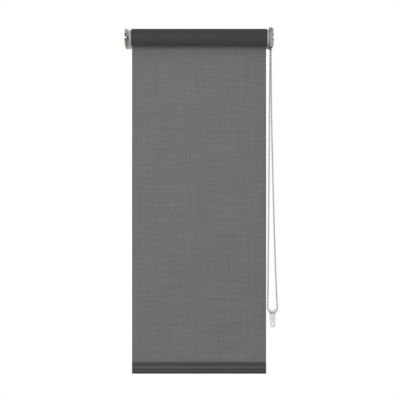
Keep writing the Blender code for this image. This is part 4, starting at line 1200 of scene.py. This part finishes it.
def make_washer_and_screw():
    low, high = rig.box("spindle_washer")
    washer = pipe("spindle_washer_pressed", high.z, SCREW_BORE, low.x, high.x, 64)
    place(soften(washer, 0.0002), STEEL, "root", ["spindle_washer"], "steel")

    low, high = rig.box("spindle_screw")
    head, head_back = high.z, high.x - SCREW_LENGTH
    profile = [(0, high.x), (0.0008, high.x)]
    for i in range(SCREW_TURNS):
        x = high.x - 0.0006 - 0.0105 * i / SCREW_TURNS
        profile += [(SHANK_RADIUS, x), (SHANK_RADIUS - THREAD_DEPTH, x - THREAD_DEPTH)]
    profile += [(SHANK_RADIUS, head_back + 0.0003), (SHANK_RADIUS, head_back), (head, head_back)]
    profile += [(head - 0.3 * head * (1 - math.cos(a)), head_back - (head_back - low.x) * math.sin(a))
                for a in (0.5, 0.8, 1.1, 1.35)]
    screw = turned("spindle_screw_body", profile + [(head * 0.5, low.x), (0, low.x)], 48, closed=False)
    arm, blade = head * 0.6, 0.0004
    for y, z in ((arm, blade), (blade, arm)):
        recess = block("recess", (low.x - OVERCUT, low.x + 0.0008), (AXIS_Y - y, AXIS_Y + y), (-z, z))
        boolean(screw, recess, "DIFFERENCE")
    screw.name = "spindle_screw_turned"
    place(soften(screw, 0), STEEL, "root", ["spindle_screw"], "steel")


def make_brake_springs():
    wire_r = BRAKE_WIRE_RADIUS
    for name in ("brake_spring_1", "brake_spring_2"):
        low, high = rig.box(name)
        coil = helix(BRAKE_COIL_RADIUS, low.x + wire_r, high.x - wire_r, turns=4, per_turn=40)
        coil.append((high.x - wire_r, coil[-1][1] + wire_r, coil[-1][2] + 2 * wire_r))
        spring = wire(name + "_coil", coil, wire_r)
        place(soften(spring, 0, angle=60), SPRING, "root", [name], "steel")


def make_chain_wheel():
    """A core between two rims with a pocket for each bead."""
    low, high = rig.box("chain_wheel")
    rim, pocket = high.z, BEAD_DIAMETER / 2 + GAP
    across = (rim ** 2 + PITCH_RADIUS ** 2 - pocket ** 2) / (2 * rim * PITCH_RADIUS)
    inner = math.degrees(math.asin(rim * math.sin(math.acos(across)) / pocket))
    outline = []
    for i in range(POCKETS):
        middle = 360 * i / POCKETS
        _, y, z = about_axis(0, PITCH_RADIUS, math.radians(middle))
        outline += arc((y, z), pocket, middle - inner, middle - 360 + inner, 11)
    rim_width = (high.x - low.x - WHEEL_GROOVE) / 2
    core = PITCH_RADIUS - BEAD_DIAMETER / 2 - 0.0004
    hole = circle((AXIS_Y, 0), WHEEL_BORE + RIM_HOLE_STEP)
    pieces = [pipe("wheel_core", core, WHEEL_BORE, low.x, high.x)]
    for x in (low.x, high.x - rim_width):
        pieces.append(slab("wheel_rim", [outline, hole], x, x + rim_width))
    wheel = joined("chain_wheel_moulding", *pieces)
    place(soften(wheel, 0.0001), DARK, "roller", ["chain_wheel"], "dark_plastic")


def guard_outline(inset):
    low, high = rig.box("chain_guard_outer")
    radius, corner, bottom = high.z - inset, GUARD_CORNER - inset, low.z + inset
    left, right = AXIS_Y - radius, AXIS_Y + radius
    return (arc((AXIS_Y, 0), radius, 0, 180, 49)
            + arc((left + corner, bottom + corner), corner, 180, 270, 9)
            + arc((right - corner, bottom + corner), corner, 270, 360, 9))


def guard_half(name, node, hole):
    """One half's outline with its middle hole, filled to the whole of its thickness."""
    low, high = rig.box(node)
    return slab(name, [guard_outline(0), circle((AXIS_Y, 0), hole)], low.x, high.x)


def make_guard():
    cover = guard_half("chain_guard_cover", "chain_guard_inner", COVER_HOLE)
    place(soften(cover, 0.0002), GUARD, "root", ["chain_guard_inner"], "grey_plastic")
    tray = guard_half("chain_guard_shell", "chain_guard_outer", SHELL_HOLE)
    low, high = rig.box("chain_guard_outer")
    past, floor = low.x - OVERCUT, high.x - GUARD_FLOOR
    boolean(tray, slab("guard_room", [guard_outline(GUARD_WALL)], past, floor), "DIFFERENCE")
    mouth = block("guard_mouth", (past, floor), (AXIS_Y - MOUTH_HALF, AXIS_Y + MOUTH_HALF),
                  (low.z - OVERCUT, low.z + MOUTH_HEIGHT))
    boolean(tray, mouth, "DIFFERENCE")
    tidy(tray.data)
    place(soften(tray, 0.0003), GUARD, "root", ["chain_guard_outer"], "grey_plastic")


# ---- cloth and rail

LEAD_SWEEP = math.radians(128)    # from the roll's back round to where the cloth joins its turns


def two_sided(name, rows, columns, place_of):
    """A thin sheet from the places of its side -1 and side 1, with a border that joins them.
    The first rows * columns faces are side -1."""
    verts = [place_of(side, j / rows, i / columns)
             for side in (-1, 1) for j in range(rows + 1) for i in range(columns + 1)]
    across, layer = columns + 1, (columns + 1) * (rows + 1)
    faces = []
    for s in range(2):
        for j in range(rows):
            for i in range(columns):
                p = s * layer + j * across + i
                face = (p, p + across, p + across + 1, p + 1)
                faces.append(face[::-1] if s else face)
    border = ([j * across for j in range(rows + 1)] + [rows * across + i for i in range(1, across)]
              + [j * across + columns for j in range(rows - 1, -1, -1)] + list(range(columns - 1, 0, -1)))
    for a, b in zip(border, border[1:] + border[:1]):
        faces.append((a, a + layer, b + layer, b))
    return add(name, mesh_from(name, verts, faces))


def make_hanging_cloth():
    """The cloth from the roll down into the rail: nearly flat, with a faint cup at its edges."""
    rows, columns = 164, 68
    width, length = FABRIC_HIGH.x - FABRIC_LOW.x, -FABRIC_LOW.z

    def place_of(side, down, across):
        x = FABRIC_LOW.x + width * across
        free = math.sin(math.pi * min(1, max(0, (down - 0.05) / 0.92))) ** 2
        wave = (0.00045 * math.sin(17 * x + 3.1 * down) * math.sin(5.2 * down + 0.6)
                + 0.00025 * math.sin(43 * x + 9 * down)
                - 0.0009 * (2 * x / width) ** 6 * math.sin(math.pi * down))
        return x, FABRIC_Y + side * CLOTH_THICKNESS / 2 + free * wave, -length * down

    piece = two_sided("hanging_cloth", rows, columns, place_of)
    piece.data.materials.append(CLOTH_FRONT_LIT_THROUGH)
    piece.data.materials.append(CLOTH_BACK)
    for polygon in piece.data.polygons[rows * columns:]:
        polygon.material_index = 1
    tidy(piece.data, 1e-7)
    place(soften(piece, 0, angle=60), None, "root", ["hanging_fabric"], "cloth")
    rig.squash(piece, "blind_travel", (0, 0, 1), (0, FABRIC_Y, 0), keep=(length - BLIND_TRAVEL) / length)
    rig.sheet(piece, flat=(width, length), held="hung", rests_on=["roll_of_cloth", "rail_extrusion"])


def make_lead_cloth():
    """The cloth where it comes off the back of the roll, over the top into the wound turns."""
    start, end = FABRIC_Y - AXIS_Y, ROLL_RADIUS - CLOTH_THICKNESS / 2 - 0.0001

    def place_of(side, share, across):
        ease = share * share * (3 - 2 * share)
        radius = start + (end - start) * ease - side * CLOTH_THICKNESS / 2
        return about_axis(-EDGE_X + 2 * EDGE_X * across, radius, LEAD_SWEEP * share)

    lead = two_sided("cloth_lead", 40, 34, place_of)
    tidy(lead.data, 1e-7)
    place(soften(lead, 0, angle=60), CLOTH_ROLL, "root", (), "cloth")
    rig.sheet(lead, flat=(2 * EDGE_X, (start + end) / 2 * LEAD_SWEEP), held="hung",
             rests_on=["roll_of_cloth"])


RAIL_HALF = 0.004                 # of its upper part's thickness
RAIL_ROUND = 0.001
RAIL_SLOPE_TOP = 0.0092           # rail's top edge down to where its front slopes outward
RAIL_SLOPE_HEIGHT = 0.0054
RAIL_SLOPE_PROUD = 0.001
RAIL_LIP_HEIGHT = 0.0015
RAIL_LIP_PROUD = 0.0004
RAIL_TOE = 0.0044
RAIL_TOE_INSET = 0.001
RAIL_FOOT_ROUND = 0.0006
RAIL_MOUTH_HALF = 0.0007
SPLINE_ROOM_RADIUS = 0.0025
CHAMBER_DROP = 0.015
CHAMBER_FLOOR = 0.0038
CHAMBER_HALF = 0.0025
CHAMBER_ROUND = 0.001
CAP_THICKNESS = 0.003
RAIL_EDGE_ANGLE = 8               # degrees: sharper edges than this are left crisp


def rail_outline(inside):
    """The rail's section, round to the slot at its top."""
    top, bottom = RAIL_HIGH.z, RAIL_LOW.z
    upper, rear = FABRIC_Y - RAIL_HALF, FABRIC_Y + RAIL_HALF
    lower = upper - RAIL_SLOPE_PROUD
    slope_top = top - RAIL_SLOPE_TOP
    toe = bottom + RAIL_TOE
    foot = upper + RAIL_TOE_INSET + RAIL_FOOT_ROUND
    outline = [(FABRIC_Y - RAIL_MOUTH_HALF, top)]
    outline += arc((upper + RAIL_ROUND, top - RAIL_ROUND), RAIL_ROUND, 90, 180, 15)
    outline += [(upper, slope_top), (lower, slope_top - RAIL_SLOPE_HEIGHT),
                (lower, toe + RAIL_LIP_HEIGHT), (lower - RAIL_LIP_PROUD, toe)]
    outline += arc((foot, bottom + RAIL_FOOT_ROUND), RAIL_FOOT_ROUND, 180, 270, 15)
    outline += arc((rear - RAIL_ROUND, bottom + RAIL_ROUND), RAIL_ROUND, 270, 360, 15)
    outline += arc((rear - RAIL_ROUND, top - RAIL_ROUND), RAIL_ROUND, 0, 90, 15)
    return outline + [(FABRIC_Y + RAIL_MOUTH_HALF, top)] + inside


def make_rail():
    low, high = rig.box("rail_spline")
    spline_top, radius, spline_z = high.z, (high.z - low.z) / 2, (low.z + high.z) / 2
    spans = 24
    spline = wire("rail_spline_cord", [(low.x + (high.x - low.x) * i / spans, FABRIC_Y, spline_z)
                                       for i in range(spans + 1)], radius, 24)
    place(soften(spline, 0.0002), DARK, "rail", ["rail_spline"], "dark_plastic")

    low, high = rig.box("bottom_rail")
    lip = math.degrees(math.asin(RAIL_MOUTH_HALF / SPLINE_ROOM_RADIUS))
    inside = arc((FABRIC_Y, spline_z), SPLINE_ROOM_RADIUS, 90 - lip, -270 + lip, 61)
    chamber_top, chamber_low = RAIL_HIGH.z - CHAMBER_DROP, RAIL_LOW.z + CHAMBER_FLOOR

    def chamber(inset):
        half = CHAMBER_HALF - inset
        return rounded([(FABRIC_Y - half, chamber_low + inset), (FABRIC_Y + half, chamber_low + inset),
                        (FABRIC_Y + half, chamber_top - inset), (FABRIC_Y - half, chamber_top - inset)],
                       [CHAMBER_ROUND] * 4)

    rail = slab("rail_extrusion", [rail_outline(inside), chamber(0)], low.x, high.x)
    place(soften(rail, 0.00012, 2, RAIL_EDGE_ANGLE), RAIL, "rail", ["bottom_rail"], "rail_metal")

    notch = [(FABRIC_Y + RAIL_MOUTH_HALF, spline_top), (FABRIC_Y - RAIL_MOUTH_HALF, spline_top)]
    for name, side in (("end_cap_left", -1), ("end_cap_right", 1)):
        low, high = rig.box(name)
        outer, peg_in = (high.x, low.x) if side > 0 else (-low.x, -high.x)
        peg_out = outer - CAP_THICKNESS
        cap = slab(name + "_plate", [rail_outline(notch)], side * peg_out, side * outer)
        peg = slab("cap_peg", [chamber(GAP)], side * peg_out, side * peg_in)
        cap = joined(name + "_moulding", cap, peg)
        place(soften(cap, 0.0003, 3, RAIL_EDGE_ANGLE), CAP, "rail", [name], "rail_cap")


# ---- tensioner

FOOT_HALF, FOOT_CORNER = 0.0065, 0.003
HORN_WIDTH, HORN_DIP = 0.0012, 0.0038     # of the two tips at its top, and the curve between them
SCREW_HOLE_DROP, SCREW_HOLE_RADIUS = 0.0393, 0.003
TENSIONER_HALF_DEPTH = 0.004
CHAIN_ROOM_RADIUS = 0.00265


def tensioner_outline():
    low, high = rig.box("tensioner_back")
    middle, top, bottom, top_half = (low.x + high.x) / 2, high.z, low.z, (high.x - low.x) / 2
    body = rounded([(middle + top_half, top), (middle - top_half, top), (middle - FOOT_HALF, bottom),
                    (middle + FOOT_HALF, bottom)], [0, 0, FOOT_CORNER, FOOT_CORNER], 9)
    half = top_half - HORN_WIDTH
    radius = (half ** 2 + HORN_DIP ** 2) / (2 * HORN_DIP)
    spread = math.degrees(math.asin(half / radius))
    curve = arc((middle, top + radius - HORN_DIP), radius, -90 + spread, -90 - spread, 17)
    return body[:1] + curve + body[1:]


def make_tensioner():
    """Two shells that meet at the chain's plane, with a round channel for its lower bend."""
    shells = []
    hole = circle((BEND_MIDDLE.x, BEND_MIDDLE.z - SCREW_HOLE_DROP), SCREW_HOLE_RADIUS)
    depth = TENSIONER_HALF_DEPTH - GAP / 2
    for name, side in (("tensioner_front", -1), ("tensioner_back", 1)):
        shell = prism(name + "_shell", [tensioner_outline(), hole], ALONG_Y,
                      (0, AXIS_Y + side * (GAP + depth) / 2, 0), depth)
        bpy.ops.mesh.primitive_torus_add(major_radius=BEND_RADIUS, minor_radius=CHAIN_ROOM_RADIUS,
                                         major_segments=72, minor_segments=20)
        ring = bpy.context.object
        ring.data.transform(Matrix.Translation(BEND_MIDDLE) @ Matrix.Rotation(math.pi / 2, 4, "X"))
        boolean(shell, ring, "DIFFERENCE")
        soften(shell, 0.0003, 2, 40)
        shells.append(place(shell, CLEAR, "tensioner", [name], "clear_plastic"))
    return shells


make_camera()
make_studio()
chain, route = make_free_chain()
make_chain_over_wheel()
make_bracket("bracket_left", -1)
make_bracket("bracket_right", 1)
make_roll()
make_tube_and_tape()
make_idle_plug()
make_idle_bush()
make_idle_pin()
make_idle_spring()
make_spindle()
make_drive_sleeve()
make_washer_and_screw()
make_brake_springs()
make_chain_wheel()
make_guard()
make_hanging_cloth()
make_lead_cloth()
make_rail()
tensioner = make_tensioner()
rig.cord(chain, exit=route[0], length=CHAIN_LENGTH, diameter=BEAD_DIAMETER, far_end="object",
        stiffness="limp", lay="hanging", path=route, with_pieces=tensioner)

with open("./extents.json", "w") as out:
    json.dump({"cad": [list(p) for p in cad_box], "visual": [list(p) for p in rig.bounds()]}, out)
